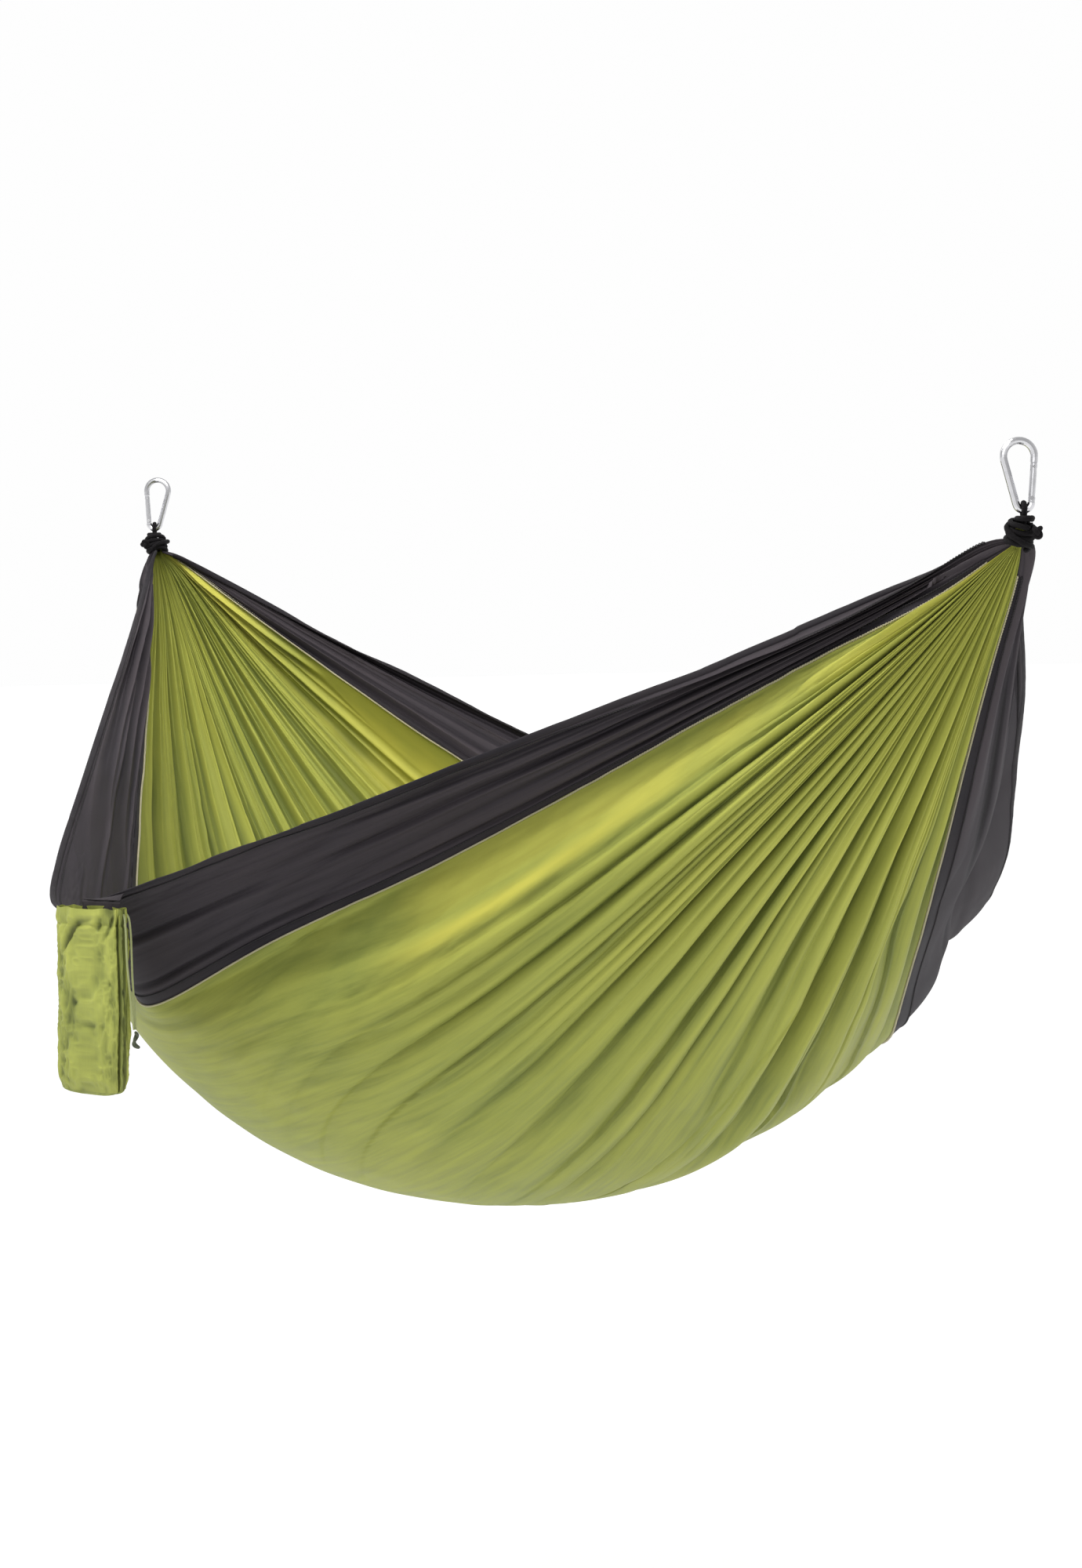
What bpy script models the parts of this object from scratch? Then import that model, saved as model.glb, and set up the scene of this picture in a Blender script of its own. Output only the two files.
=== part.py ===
"""Parachute-cloth camping hammock hung between two snap hooks, with its stuff sack on the near hem.

The bed hangs level along X. Its two gathers are where the cloth is bunched and whipped with rope.
The origin of the world is the inside of the left hook's bow, where the hammock is hung.
Side -1 is the near side (-Y) and side +1 the far side (+Y); end -1 is the left end and +1 the right.
"""

import math

import bmesh
import bpy
import numpy as np
from mathutils import Matrix, Vector

# Bed, measured from the middle of the line between the gathers
HALF_SPAN = 1.060
BED_DEPTH = 0.825
SEAM = 0.70
CLOTH = 0.0025
GAP = 0.0003
HEM_HALF_WIDTH, HEM_HALF_THICK = 0.0035, 0.0022
TAPE_HALF_WIDTH, TAPE_THICK = 0.006, 0.0014
# At mid-length, each side's (depth, distance out) at its seam and hem, how fast it spreads from the
# centre line, and how far its middle is shifted along X. The roundness of a curve along the bed is near
# zero for a sharp corner at mid-length and large for a parabola.
MID_ROUND, ROUND_FADE = 4.8, 1.35
SIDES = {
    -1: {
        "seam": (0.547, 0.516),
        "hem": (0.422, 0.631),
        "spread": 0.994,
        "round": (0.070, 0.065),
        "lean": 0.021,
    },
    1: {
        "seam": (0.590, 0.522),
        "hem": (0.484, 0.650),
        "spread": 0.667,
        "round": (0.187, 0.211),
        "lean": 0.013,
    },
}

# Towards the right gather the far band takes up more of the width: where that starts, how soon, how far
# the far seam has drifted at the gather, and how much more it turns round the gather's own flare. The near
# seam turns the same way round the left gather.
DRIFT_START, DRIFT_EASE, SEAM_DRIFT = -0.05, 0.15, 0.50
GATHER_TURN, TURN_FADE = 0.20, 16
LEFT_TURN, LEFT_FADE = 0.42, 14

# Gathers
NECK_TILT = math.radians(25)
NECK_RADIUS, NECK_LENGTH = 0.0085, 0.028
FLARE_RADIUS, FLARE_FADE, PINCH_FADE = 0.020, 8, 0.012
CLOTH_FAN = math.radians(150)
EDGE_END = 0.99
STATIONS = 37
SEAM_SPLIT, BAND_SPLIT = 0.012, 0.006

# Suspension rope
ROPE = 0.006
WHIP_TURNS, WHIP_PITCH, TURN_POINTS = 4, 0.0064, 14
STRAND_STEP = 0.0022
STRAND_OUT, STRAND_DROP = 0.0062, 0.0045
STRAND_DEPTHS = (0.008, 0.022)
KNOT_HALF_SIZES, KNOT_STAND, KNOT_RISE = (0.0062, 0.0075, 0.0090), 0.0238, 0.016

# Snap hooks, 80 mm long in 8 mm wire, as DIN 5299 form C
WIRE = 0.008
BOW_RADIUS, NARROW_RADIUS = 0.016, 0.008
BOW_CENTRE = (-0.005, 0.056)
HOOK_RISE = 0.012
HOOK_TURN = math.radians(30)
GATE_RADIUS = 0.0036
PIVOT_HEIGHT, LATCH_HEIGHT = 0.0125, 0.045
BLADE = 0.0026
FORK_SLOT = 0.0032
RIVET_RADIUS, LATCH_RADIUS = 0.00125, 0.0010
RIVET_HEAD_RADIUS, RIVET_HEAD = 0.0022, 0.0007
BORE_RADIUS, BORE_START, BORE_TOP = 0.0020, 0.0020, 0.0190
CUT_THROUGH = 0.02
SPRING_COILS, SPRING_WIRE, SPRING_RADIUS, COIL_POINTS = 7, 0.0006, 0.0012, 9
PLUNGER_PROFILE = ((0.0008, 0), (0.0016, 0.0012), (0.0016, 0.0030))
NOTCH, NOTCH_DEPTH = 0.0028, 0.006
BLADE_ROOT, WIRE_END = 0.0085, 0.0046

# Stuff sack
SACK_WIDTH, SACK_THICK, SACK_HEIGHT = 0.098, 0.028, 0.220
SACK_WALL = 0.0016
CHANNEL_HEIGHT, CHANNEL_WALL = 0.018, 0.0032
BASE_HEIGHT = 0.008
SACK_TURN = math.radians(24)
SACK_PLACE = 0.076
SACK_DROP = 0.008
DRAWSTRING = 0.0025
TAB_WIDTH, TAB_THICK, TAB_STAND, TAB_LAP = 0.060, 0.0015, 0.0105, 0.012
STRING_STEP, STRING_SIDE = 0.0065, 0.0028
# Each tail's way from the mouth: (out along the sack, share of the side offset, down)
STRING_ROUTE = (
    (0.0000, 1.00, 0.006),
    (0.0030, 1.30, 0.012),
    (0.0050, 1.50, 0.030),
    (0.0060, 1.50, 0.055),
    (0.0075, 1.20, 0.080),
    (0.0100, 1.00, 0.105),
    (0.0125, 0.70, 0.1307),
    (0.0135, 0.62, 0.1397),
)
TAIL_KNOT, TAIL_KNOT_AT = (0.0042, 0.0045, 0.0110), (0.0150, 0.1515)

GREEN = (0.30, 0.33, 0.09, 1)
SACK_GREEN = (0.32, 0.36, 0.09, 1)
CHARCOAL = (0.040, 0.037, 0.043, 1)
THREAD = (0.50, 0.56, 0.30, 1)
STRING_GREEN = (0.45, 0.50, 0.22, 1)
KNOT_GREEN = (0.05, 0.07, 0.02, 1)
BLACK = (0.012, 0.010, 0.013, 1)
ZINC = (0.62, 0.62, 0.64, 1)


def clear_scene():
    for obj in list(bpy.data.objects):
        bpy.data.objects.remove(obj)


def material(name, colour, roughness, metallic=0.0):
    made = bpy.data.materials.new(name)
    made.use_nodes = True
    shader = made.node_tree.nodes["Principled BSDF"]
    shader.inputs["Base Color"].default_value = colour
    shader.inputs["Roughness"].default_value = roughness
    shader.inputs["Metallic"].default_value = metallic
    return made


def add(name, mesh, parent, look, place=Matrix.Identity(4)):
    """One named object on its parent, with its own material."""
    obj = bpy.data.objects.new(name, mesh)
    bpy.context.scene.collection.objects.link(obj)
    obj.parent = parent
    obj.matrix_local = place
    mesh.materials.append(material(name, *look))
    return obj


def empty(name, parent, place):
    obj = bpy.data.objects.new(name, None)
    bpy.context.scene.collection.objects.link(obj)
    obj.parent = parent
    obj.matrix_local = place
    return obj


def finish_mesh(bm, name, smooth_below=40):
    """Closes a bmesh into a mesh whose faces point out, round faces shaded smooth."""
    bmesh.ops.recalc_face_normals(bm, faces=bm.faces)
    if bm.calc_volume(signed=True) < 0:
        bmesh.ops.reverse_faces(bm, faces=bm.faces)
    mesh = bpy.data.meshes.new(name)
    bm.to_mesh(mesh)
    bm.free()
    mesh.shade_smooth()
    mesh.set_sharp_from_angle(angle=math.radians(smooth_below))
    return mesh


def shell_mesh(name, rows):
    """A skin from rows of (inside, outside) point pairs, closed round all four edges."""
    bm = bmesh.new()
    skins = [[[bm.verts.new(pair[face]) for pair in row] for row in rows] for face in (0, 1)]
    last_row, last_column = len(rows) - 1, len(rows[0]) - 1
    for i in range(last_row):
        for j in range(last_column):
            for skin in skins:
                bm.faces.new((skin[i][j], skin[i + 1][j], skin[i + 1][j + 1], skin[i][j + 1]))
    inner, outer = skins
    for i in range(last_row):
        for j in (0, last_column):
            bm.faces.new((inner[i][j], inner[i + 1][j], outer[i + 1][j], outer[i][j]))
    for j in range(last_column):
        for i in (0, last_row):
            bm.faces.new((inner[i][j], inner[i][j + 1], outer[i][j + 1], outer[i][j]))
    return finish_mesh(bm, name)


def loft_mesh(name, rings):
    """A solid through rings of points, with a flat cap on its first and last ring."""
    bm = bmesh.new()
    loops = [[bm.verts.new(point) for point in ring] for ring in rings]
    sides = len(rings[0])
    for lower, upper in zip(loops, loops[1:]):
        for i in range(sides):
            bm.faces.new((lower[i], lower[(i + 1) % sides], upper[(i + 1) % sides], upper[i]))
    bm.faces.new(loops[0])
    bm.faces.new(loops[-1])
    return finish_mesh(bm, name)


def cylinder_mesh(name, radius, length, sides=16):
    """A cylinder along Z, centred on the origin."""
    bm = bmesh.new()
    bmesh.ops.create_cone(bm, cap_ends=True, segments=sides, radius1=radius, radius2=radius, depth=length)
    return finish_mesh(bm, name)


def plate_mesh(name, outline, thickness):
    """A plate of this thickness with its outline in the YZ plane, centred on it."""
    bm = bmesh.new()
    face = bm.faces.new([bm.verts.new((-thickness / 2, y, z)) for y, z in outline])
    grown = bmesh.ops.extrude_face_region(bm, geom=[face])
    moved = [v for v in grown["geom"] if isinstance(v, bmesh.types.BMVert)]
    bmesh.ops.translate(bm, verts=moved, vec=(thickness, 0, 0))
    return finish_mesh(bm, name)


def smooth_route(points, step):
    """Points about one step apart along a smooth curve through the given points."""
    points = [Vector(p) for p in points]
    ends = [2 * points[0] - points[1], *points, 2 * points[-1] - points[-2]]
    dense = [points[0]]
    for a, b, c, d in zip(ends, ends[1:], ends[2:], ends[3:]):
        for k in range(1, 21):
            t = k / 20
            linear = (c - a) * t
            square = (2 * a - 5 * b + 4 * c - d) * t**2
            cube = (3 * b - a - 3 * c + d) * t**3
            dense.append((2 * b + linear + square + cube) / 2)
    lengths = np.cumsum([0] + [(q - p).length for p, q in zip(dense, dense[1:])])
    wanted = np.linspace(0, lengths[-1], max(3, round(lengths[-1] / step) + 1))
    spots = np.array(dense)
    return [Vector([np.interp(s, lengths, spots[:, k]) for k in range(3)]) for s in wanted]


def tube(name, points, diameter, parent, look, resolution=2, closed=False, place=Matrix.Identity(4)):
    """A round tube along the points, as a curve with filled caps."""
    curve = bpy.data.curves.new(name, "CURVE")
    curve.dimensions = "3D"
    curve.bevel_depth = diameter / 2
    curve.bevel_resolution = resolution
    curve.use_fill_caps = not closed
    spline = curve.splines.new("POLY")
    spline.points.add(len(points) - 1)
    for spot, point in zip(spline.points, points):
        spot.co = (*point, 1)
    spline.use_cyclic_u = closed
    return add(name, curve, parent, look, place)


def cut(obj, cutter_mesh, place):
    """Takes a cutter's shape out of obj. The cutter stays as a hidden guide."""
    cutter = bpy.data.objects.new(f"{obj.name}_cutter", cutter_mesh)
    bpy.context.scene.collection.objects.link(cutter)
    cutter.parent = obj
    cutter.matrix_local = place
    cutter.hide_render = True
    cutter.display_type = "WIRE"
    boolean = obj.modifiers.new("cut", "BOOLEAN")
    boolean.operation = "DIFFERENCE"
    boolean.object = cutter


def unite(obj, other_mesh):
    """Joins another shape to obj."""
    other = bpy.data.objects.new(f"{obj.name}_joined", other_mesh)
    bpy.context.scene.collection.objects.link(other)
    other.parent = obj
    other.hide_render = True
    other.display_type = "WIRE"
    boolean = obj.modifiers.new("join", "BOOLEAN")
    boolean.operation = "UNION"
    boolean.object = other


# The bed's surface


def through(seam_rise, hem_rise, power):
    """p, q so that p*a^power + q*a^(power + 2) is seam_rise at the seam and hem_rise at the hem."""
    powers = [[SEAM**power, SEAM ** (power + 2)], [1, 1]]
    return np.linalg.solve(powers, [seam_rise, hem_rise])


def across(side, a):
    """Depth, distance out and roundness at mid-length, a = 0 on the centre line and 1 on the hem."""
    shape = SIDES[side]
    (seam_depth, seam_out), (hem_depth, hem_out) = shape["seam"], shape["hem"]
    spread, (seam_round, hem_round) = shape["spread"], shape["round"]
    p, q = through(seam_depth - BED_DEPTH, hem_depth - BED_DEPTH, 2)
    depth = BED_DEPTH + p * a**2 + q * a**4
    p, q = through(seam_out - spread * SEAM, hem_out - spread, 3)
    out = spread * a + p * a**3 + q * a**5
    if a < SEAM:
        roundness = seam_round + (MID_ROUND - seam_round) * (1 - (a / SEAM) ** 2) ** ROUND_FADE
    else:
        roundness = seam_round + (hem_round - seam_round) * (a - SEAM) / (1 - SEAM)
    return depth, out, roundness


def neck_axis(end):
    """Up the gather's neck, leaning out over the end of the bed."""
    return Vector((end * math.sin(NECK_TILT), 0, math.cos(NECK_TILT)))


def ring_offset(end, v, radius):
    """From the neck's centre to the cloth bunched round it: the centre line outside, the hems inside."""
    outward = Vector((end * math.cos(NECK_TILT), 0, -math.sin(NECK_TILT)))
    angle = v * CLOTH_FAN
    return radius * (outward * math.cos(angle) + Vector((0, math.sin(angle), 0)))


def width_place(u, v):
    """Where the cloth at v lies across the bed, as -1 at the near hem and 1 at the far hem."""
    near_seam = -SEAM + LEFT_TURN * min(max(-u, 0), 1) ** LEFT_FADE
    if v < -SEAM:
        return -1 + (v + 1) * (near_seam + 1) / (1 - SEAM)
    past = min(u, 1) - DRIFT_START
    drift = SEAM_DRIFT * (past + math.hypot(past, DRIFT_EASE)) / 2 / (1 - DRIFT_START)
    seam = SEAM - drift - GATHER_TURN * min(max(u, 0), 1) ** TURN_FADE
    if v < SEAM:
        return near_seam + (v + SEAM) * (seam - near_seam) / (2 * SEAM)
    return seam + (v - SEAM) * (1 - seam) / (1 - SEAM)


def bed_point(u, v):
    """The cloth's mid-surface. u runs along the bed, -1 and 1 at the gathers and beyond them in metres
    up the necks; v runs across the cloth, -1 on the near hem, 1 on the far hem and SEAM at the seams."""
    v = width_place(u, v)
    end = 1 if u > 0 else -1
    if abs(u) >= 1:
        gather = Vector((end * HALF_SPAN, 0, 0))
        return gather + neck_axis(end) * (abs(u) - 1) + ring_offset(end, v, NECK_RADIUS)
    side = 1 if v > 0 else -1
    depth, out, roundness = across(side, abs(v))
    fall = 1 - (math.hypot(u, roundness) - roundness) / (math.hypot(1, roundness) - roundness)
    x = HALF_SPAN * (u + SIDES[side]["lean"] * abs(v) * (1 - u * u))
    pinch = (FLARE_RADIUS - NECK_RADIUS) * math.exp((abs(u) - 1) / PINCH_FADE)
    flare = FLARE_RADIUS * abs(u) ** FLARE_FADE - pinch
    return Vector((x, side * out * fall, -depth * fall)) + ring_offset(end, v, flare)


def bed_frame(u, v):
    """(point, across, outward): the across direction points to +v and outward is away from the hollow."""
    step = 1e-4
    point = bed_point(u, v)
    along = bed_point(u + step, v) - bed_point(u - step, v)
    across_bed = (bed_point(u, v + step) - bed_point(u, v - step)).normalized()
    outward = across_bed.cross(along).normalized()
    return point, outward.cross(-along).normalized(), outward


def stations(limit=1):
    """u values up to the limit, closer together at mid-length and at the gathers."""
    t = np.linspace(-1, 1, STATIONS)
    return [float(u) for u in t - 0.5 * np.sin(2 * math.pi * t) / (2 * math.pi) if abs(u) <= limit]


def panel(name, v_from, v_to, columns, frame, look):
    """One cloth panel, from neck to neck."""
    edge = NECK_LENGTH + 1
    along = [-edge, -1 - NECK_LENGTH / 2, *stations(), 1 + NECK_LENGTH / 2, edge]
    rows = []
    for u in along:
        row = []
        for v in np.linspace(v_from, v_to, columns):
            point, _, outward = bed_frame(u, float(v))
            row.append((point - outward * CLOTH / 2, point + outward * CLOTH / 2))
        rows.append(row)
    return add(name, shell_mesh(name, rows), frame, look)


def panels(frame):
    """The green centre panel and the two charcoal side panels, a small gap apart at the seams."""
    panel("center_panel", -SEAM + SEAM_SPLIT, SEAM - SEAM_SPLIT, 13, frame, (GREEN, 0.6))
    panel("near_side_panel", -1, -SEAM - BAND_SPLIT, 7, frame, (CHARCOAL, 0.6))
    panel("far_side_panel", SEAM + BAND_SPLIT, 1, 9, frame, (CHARCOAL, 0.6))


def seam_tape(name, side, frame):
    """The felled strip over a panel seam, on the outside of the cloth."""
    rows = []
    for u in stations(EDGE_END):
        seam, step = side * SEAM, 1e-3
        below, above = (
            step * TAPE_HALF_WIDTH / (bed_point(u, seam + way) - bed_point(u, seam)).length
            for way in (-step, step)
        )
        row = []
        for v in (seam - below, seam, seam + above):
            point, _, outward = bed_frame(u, v)
            base = point + outward * (CLOTH / 2 + 2 * GAP)
            row.append((base, base + outward * TAPE_THICK))
        rows.append(row)
    return add(name, shell_mesh(name, rows), frame, (THREAD, 0.7))


def hem(name, side, frame):
    """The rolled hem along a long edge, clear of the panel's edge."""
    rings = []
    for u in stations(EDGE_END):
        point, across_bed, outward = bed_frame(u, side)
        centre = point + across_bed * side * (HEM_HALF_WIDTH + 3 * GAP)
        ring = []
        for k in range(6):
            angle = 2 * math.pi * k / 6
            ring.append(
                centre
                + across_bed * HEM_HALF_WIDTH * math.cos(angle)
                + outward * HEM_HALF_THICK * math.sin(angle)
            )
        rings.append(ring)
    return add(name, loft_mesh(name, rings), frame, (CHARCOAL, 0.65))


# Rope at a gather


def neck_top(end):
    return Vector((end * HALF_SPAN, 0, 0)) + neck_axis(end) * NECK_LENGTH


def hook_seat(end):
    """Centre of the hook's wire where the rope loop bears on it."""
    return neck_top(end) + Vector((0, 0, HOOK_RISE))


def hook_normal():
    return Vector((math.cos(HOOK_TURN), -math.sin(HOOK_TURN), 0))


def hook_width():
    return Vector((math.sin(HOOK_TURN), math.cos(HOOK_TURN), 0))


def whipping(name, end, frame):
    """Rope wound round the neck."""
    axis = neck_axis(end)
    radius = NECK_RADIUS + CLOTH / 2 + GAP + ROPE / 2
    start = Vector((end * HALF_SPAN, 0, 0)) + axis * (NECK_LENGTH - WHIP_TURNS * WHIP_PITCH) / 2
    points = []
    for k in range(WHIP_TURNS * TURN_POINTS + 1):
        turn = k / TURN_POINTS
        angle = 2 * math.pi * turn
        outward = Vector((end * math.cos(NECK_TILT), 0, -math.sin(NECK_TILT)))
        spoke = outward * math.cos(angle) + Vector((0, math.sin(angle), 0))
        points.append(start + axis * turn * WHIP_PITCH + spoke * radius)
    return tube(name, points, ROPE, frame, (BLACK, 0.8))


def rope_loop(name, end, frame):
    """The bight from inside the neck, over the hook's wire and back down."""
    axis, seat, top = neck_axis(end), hook_seat(end), neck_top(end)
    normal, up = hook_normal(), Vector((0, 0, 1))
    over = (WIRE + ROPE) / 2 + GAP
    inside = (normal - axis * normal.dot(axis)).normalized() * (ROPE / 2 + GAP)
    shallow, deep = STRAND_DEPTHS
    strands = []
    for side in (1, -1):
        strands.append(
            [
                seat + side * normal * STRAND_OUT - up * STRAND_DROP,
                top + side * inside,
                top - axis * shallow + side * inside,
                top - axis * deep + side * inside,
            ]
        )
    bight = [seat + over * (normal * math.cos(a) + up * math.sin(a)) for a in np.linspace(0, math.pi, 9)]
    route = [*reversed(strands[0]), *bight, *strands[1]]
    return tube(name, smooth_route(route, STRAND_STEP), ROPE, frame, (BLACK, 0.8))


def stopper_knot(name, end, frame):
    """The knot that ends the rope, lying on the outer side of the whipping."""
    aside = (end * hook_width() * 0.65 + hook_normal() * 0.76) * KNOT_STAND
    centre = Vector((end * HALF_SPAN, 0, 0)) + neck_axis(end) * KNOT_RISE + aside
    radial = aside.normalized()
    axis = (neck_axis(end) - radial * neck_axis(end).dot(radial)).normalized()
    turn = Matrix((radial, axis.cross(radial), axis)).transposed().to_4x4()
    bm = bmesh.new()
    bmesh.ops.create_uvsphere(bm, u_segments=12, v_segments=8, radius=1)
    bmesh.ops.scale(bm, vec=KNOT_HALF_SIZES, verts=bm.verts)
    return add(name, finish_mesh(bm, name), frame, (BLACK, 0.8), Matrix.Translation(centre) @ turn)


# Snap hooks, each in its own frame: Y is the width with the gate at +Y, Z is up, X is the hinge axis


def tangent(side):
    """Where the straight side of the hook touches the narrow end and the bow, side +1 at the gate."""
    narrow, bow = Vector((0, 0, NARROW_RADIUS)), Vector((0, *BOW_CENTRE))
    line = bow - narrow
    lean = math.asin((NARROW_RADIUS - BOW_RADIUS) / line.length)
    normal = Matrix.Rotation(-side * (math.pi / 2 - lean), 3, "X") @ line.normalized()
    return narrow + normal * NARROW_RADIUS, bow + normal * BOW_RADIUS


def on_gate_line(height):
    low, high = tangent(1)
    return low.lerp(high, (height - low.z) / (high.z - low.z))


def arc(centre, start, finish, steps, downwards):
    """Points from start to finish round a centre in the YZ plane."""
    first = math.atan2(start.z - centre.z, start.y - centre.y)
    last = math.atan2(finish.z - centre.z, finish.y - centre.y)
    while downwards and last > first:
        last -= 2 * math.pi
    while not downwards and last < first:
        last += 2 * math.pi
    radius = (start - centre).length
    angles = np.linspace(first, last, steps)
    return [centre + radius * Vector((0, math.cos(a), math.sin(a))) for a in angles]


def wire_points():
    """The bent wire's centreline from the pivot's tang, round the narrow end and the bow, to the nose."""
    narrow, bow = Vector((0, 0, NARROW_RADIUS)), Vector((0, *BOW_CENTRE))
    gate_low, gate_high = tangent(1)
    spine_low, spine_high = tangent(-1)
    nose = on_gate_line(LATCH_HEIGHT + WIRE_END)
    tang = on_gate_line(PIVOT_HEIGHT - WIRE_END)
    return [
        tang,
        *arc(narrow, gate_low, spine_low, 12, True),
        *[spine_low.lerp(spine_high, k / 5) for k in range(1, 5)],
        *arc(bow, spine_high, gate_high, 20, True),
        nose,
    ]


def blade_outline(height, direction):
    """A tongue from inside the wire's end to a round end about the point at this height."""
    low, high = tangent(1)
    along = (high - low).normalized() * direction
    aside = Vector((0, along.z, -along.y))
    centre = on_gate_line(height)
    root = [centre - along * BLADE_ROOT + aside * s * GATE_RADIUS * 0.8 for s in (1, -1)]
    tip = []
    for a in np.linspace(-math.pi / 2, math.pi / 2, 9):
        tip.append(centre + GATE_RADIUS * (along * math.cos(a) + aside * math.sin(a)))
    return [(p.y, p.z) for p in [*root, *tip]]


def upright(along):
    """Turns a Z-long shape to lie along this direction in the hook's plane."""
    return Matrix.Rotation(-math.atan2(along.y, along.z), 4, "X")


def across_hook(point):
    """Places a Z-long shape across the hook, through this point."""
    return Matrix.Translation(point) @ Matrix.Rotation(math.pi / 2, 4, "Y")


def hook_body(name, frame):
    path = wire_points()
    guide = tube(f"{name}_wire", path, WIRE, frame, (ZINC, 0.3, 1.0), resolution=4)
    mesh = bpy.data.meshes.new_from_object(guide)
    bpy.data.objects.remove(guide)
    body = add(name, mesh, frame, (ZINC, 0.3, 1.0))
    mesh.name = name
    bm = bmesh.new()
    bm.from_mesh(mesh)
    bmesh.ops.remove_doubles(bm, verts=bm.verts, dist=1e-6)
    bm.to_mesh(mesh)
    bm.free()
    unite(body, plate_mesh("tang", blade_outline(PIVOT_HEIGHT, 1), BLADE))
    unite(body, plate_mesh("nose", blade_outline(LATCH_HEIGHT, -1), BLADE))
    pivot, latch = on_gate_line(PIVOT_HEIGHT), on_gate_line(LATCH_HEIGHT)
    cut(body, cylinder_mesh("rivet_hole", RIVET_RADIUS + GAP, CUT_THROUGH), across_hook(pivot))
    right, left, half = latch.y + NOTCH / 2, latch.y - NOTCH_DEPTH, NOTCH / 2
    corners = ((right, -half), (right, half), (left, half), (left, -half))
    notch = [(y, latch.z + rise) for y, rise in corners]
    cut(body, plate_mesh("notch", notch, CUT_THROUGH), Matrix.Identity(4))
    return body


def gate(name, frame):
    """The sprung bar across the hook's opening, forked at both ends and bored for its spring."""
    pivot, latch = on_gate_line(PIVOT_HEIGHT), on_gate_line(LATCH_HEIGHT)
    along = (latch - pivot).normalized()
    length = (latch - pivot).length + 2 * GATE_RADIUS
    middle = (pivot + latch) / 2
    turn = upright(along)
    place = Matrix.Translation(middle) @ turn
    bar = add(name, cylinder_mesh(name, GATE_RADIUS, length), frame, (ZINC, 0.35, 1.0), place)
    home = place.inverted()
    slot_depth = 2 * GATE_RADIUS + 0.0016
    for point, way in ((pivot, -1), (latch, 1)):
        box = bmesh.new()
        bmesh.ops.create_cube(box, size=1)
        bmesh.ops.scale(box, vec=(FORK_SLOT, CUT_THROUGH, slot_depth), verts=box.verts)
        mesh = finish_mesh(box, "slot")
        centre = point + along * way * (GATE_RADIUS + 0.0005 - slot_depth / 2)
        cut(bar, mesh, home @ Matrix.Translation(centre) @ turn)
    bore = cylinder_mesh("bore", BORE_RADIUS, BORE_TOP - BORE_START, 12)
    cut(bar, bore, home @ Matrix.Translation(pivot + along * (BORE_TOP + BORE_START) / 2) @ turn)
    cut(bar, cylinder_mesh("pivot_hole", RIVET_RADIUS + GAP, CUT_THROUGH), home @ across_hook(pivot))
    cut(bar, cylinder_mesh("latch_hole", LATCH_RADIUS + GAP, CUT_THROUGH), home @ across_hook(latch))
    return bar


def turned_mesh(name, profile, sides=12):
    """A solid of revolution about Z through (radius, height) pairs."""
    angles = [2 * math.pi * k / sides for k in range(sides)]
    rings = [[(r * math.cos(a), r * math.sin(a), z) for a in angles] for r, z in profile]
    return loft_mesh(name, rings)


def rivet(name, frame):
    """The gate's pivot, a pin with a flat head outside each prong."""
    head_at = GATE_RADIUS + GAP
    end_at = head_at + RIVET_HEAD
    profile = [(RIVET_HEAD_RADIUS, -end_at), (RIVET_HEAD_RADIUS, -head_at), (RIVET_RADIUS, -head_at)]
    profile += [(RIVET_RADIUS, head_at), (RIVET_HEAD_RADIUS, head_at), (RIVET_HEAD_RADIUS, end_at)]
    place = across_hook(on_gate_line(PIVOT_HEIGHT))
    return add(name, turned_mesh(name, profile), frame, (ZINC, 0.3, 1.0), place)


def latch_pin(name, frame):
    """The cross pin in the gate's tip, which catches in the nose's notch."""
    mesh = cylinder_mesh(name, LATCH_RADIUS, 2 * GATE_RADIUS - 0.0004, 10)
    return add(name, mesh, frame, (ZINC, 0.3, 1.0), across_hook(on_gate_line(LATCH_HEIGHT)))


def spring_and_plunger(end_name, frame):
    """The coil spring in the gate's bore and the plunger that it presses on the tang."""
    pivot, latch = on_gate_line(PIVOT_HEIGHT), on_gate_line(LATCH_HEIGHT)
    along = (latch - pivot).normalized()
    bottom = pivot + along * (GATE_RADIUS + GAP)
    place = Matrix.Translation(bottom) @ upright(along)
    look = (ZINC, 0.4, 1.0)
    add(f"spring_plunger_{end_name}", turned_mesh("plunger", PLUNGER_PROFILE, 10), frame, look, place)
    low = PLUNGER_PROFILE[-1][1] + SPRING_WIRE
    high = BORE_TOP - GATE_RADIUS - 2 * SPRING_WIRE
    points = []
    for k in range(SPRING_COILS * COIL_POINTS + 1):
        a = 2 * math.pi * k / COIL_POINTS
        z = low + (high - low) * k / (SPRING_COILS * COIL_POINTS)
        points.append((SPRING_RADIUS * math.cos(a), SPRING_RADIUS * math.sin(a), z))
    tube(f"gate_spring_{end_name}", points, SPRING_WIRE, frame, look, resolution=0, place=place)


def snap_hook(end_name, end, frame):
    """One hook standing in its rope loop. The empties sit on the tilt's axis and on the gate's."""
    facing = Matrix.Rotation(-HOOK_TURN + (0 if end > 0 else math.pi), 4, "Z")
    seat = empty(f"carabiner_{end_name}_axis", frame, Matrix.Translation(hook_seat(end)) @ facing)
    hook_body(f"carabiner_body_{end_name}", seat)
    rivet(f"gate_rivet_{end_name}", seat)
    hinge = empty(f"gate_{end_name}_axis", seat, Matrix.Translation(on_gate_line(PIVOT_HEIGHT)))
    at_seat = Matrix.Translation(-on_gate_line(PIVOT_HEIGHT))
    local = empty(f"gate_{end_name}_frame", hinge, at_seat)
    gate(f"gate_{end_name}", local)
    latch_pin(f"latch_pin_{end_name}", local)
    spring_and_plunger(end_name, local)


# Stuff sack, in its own frame: X along its width, -Y outward from the bed, Z up, hinge at the origin


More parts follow.
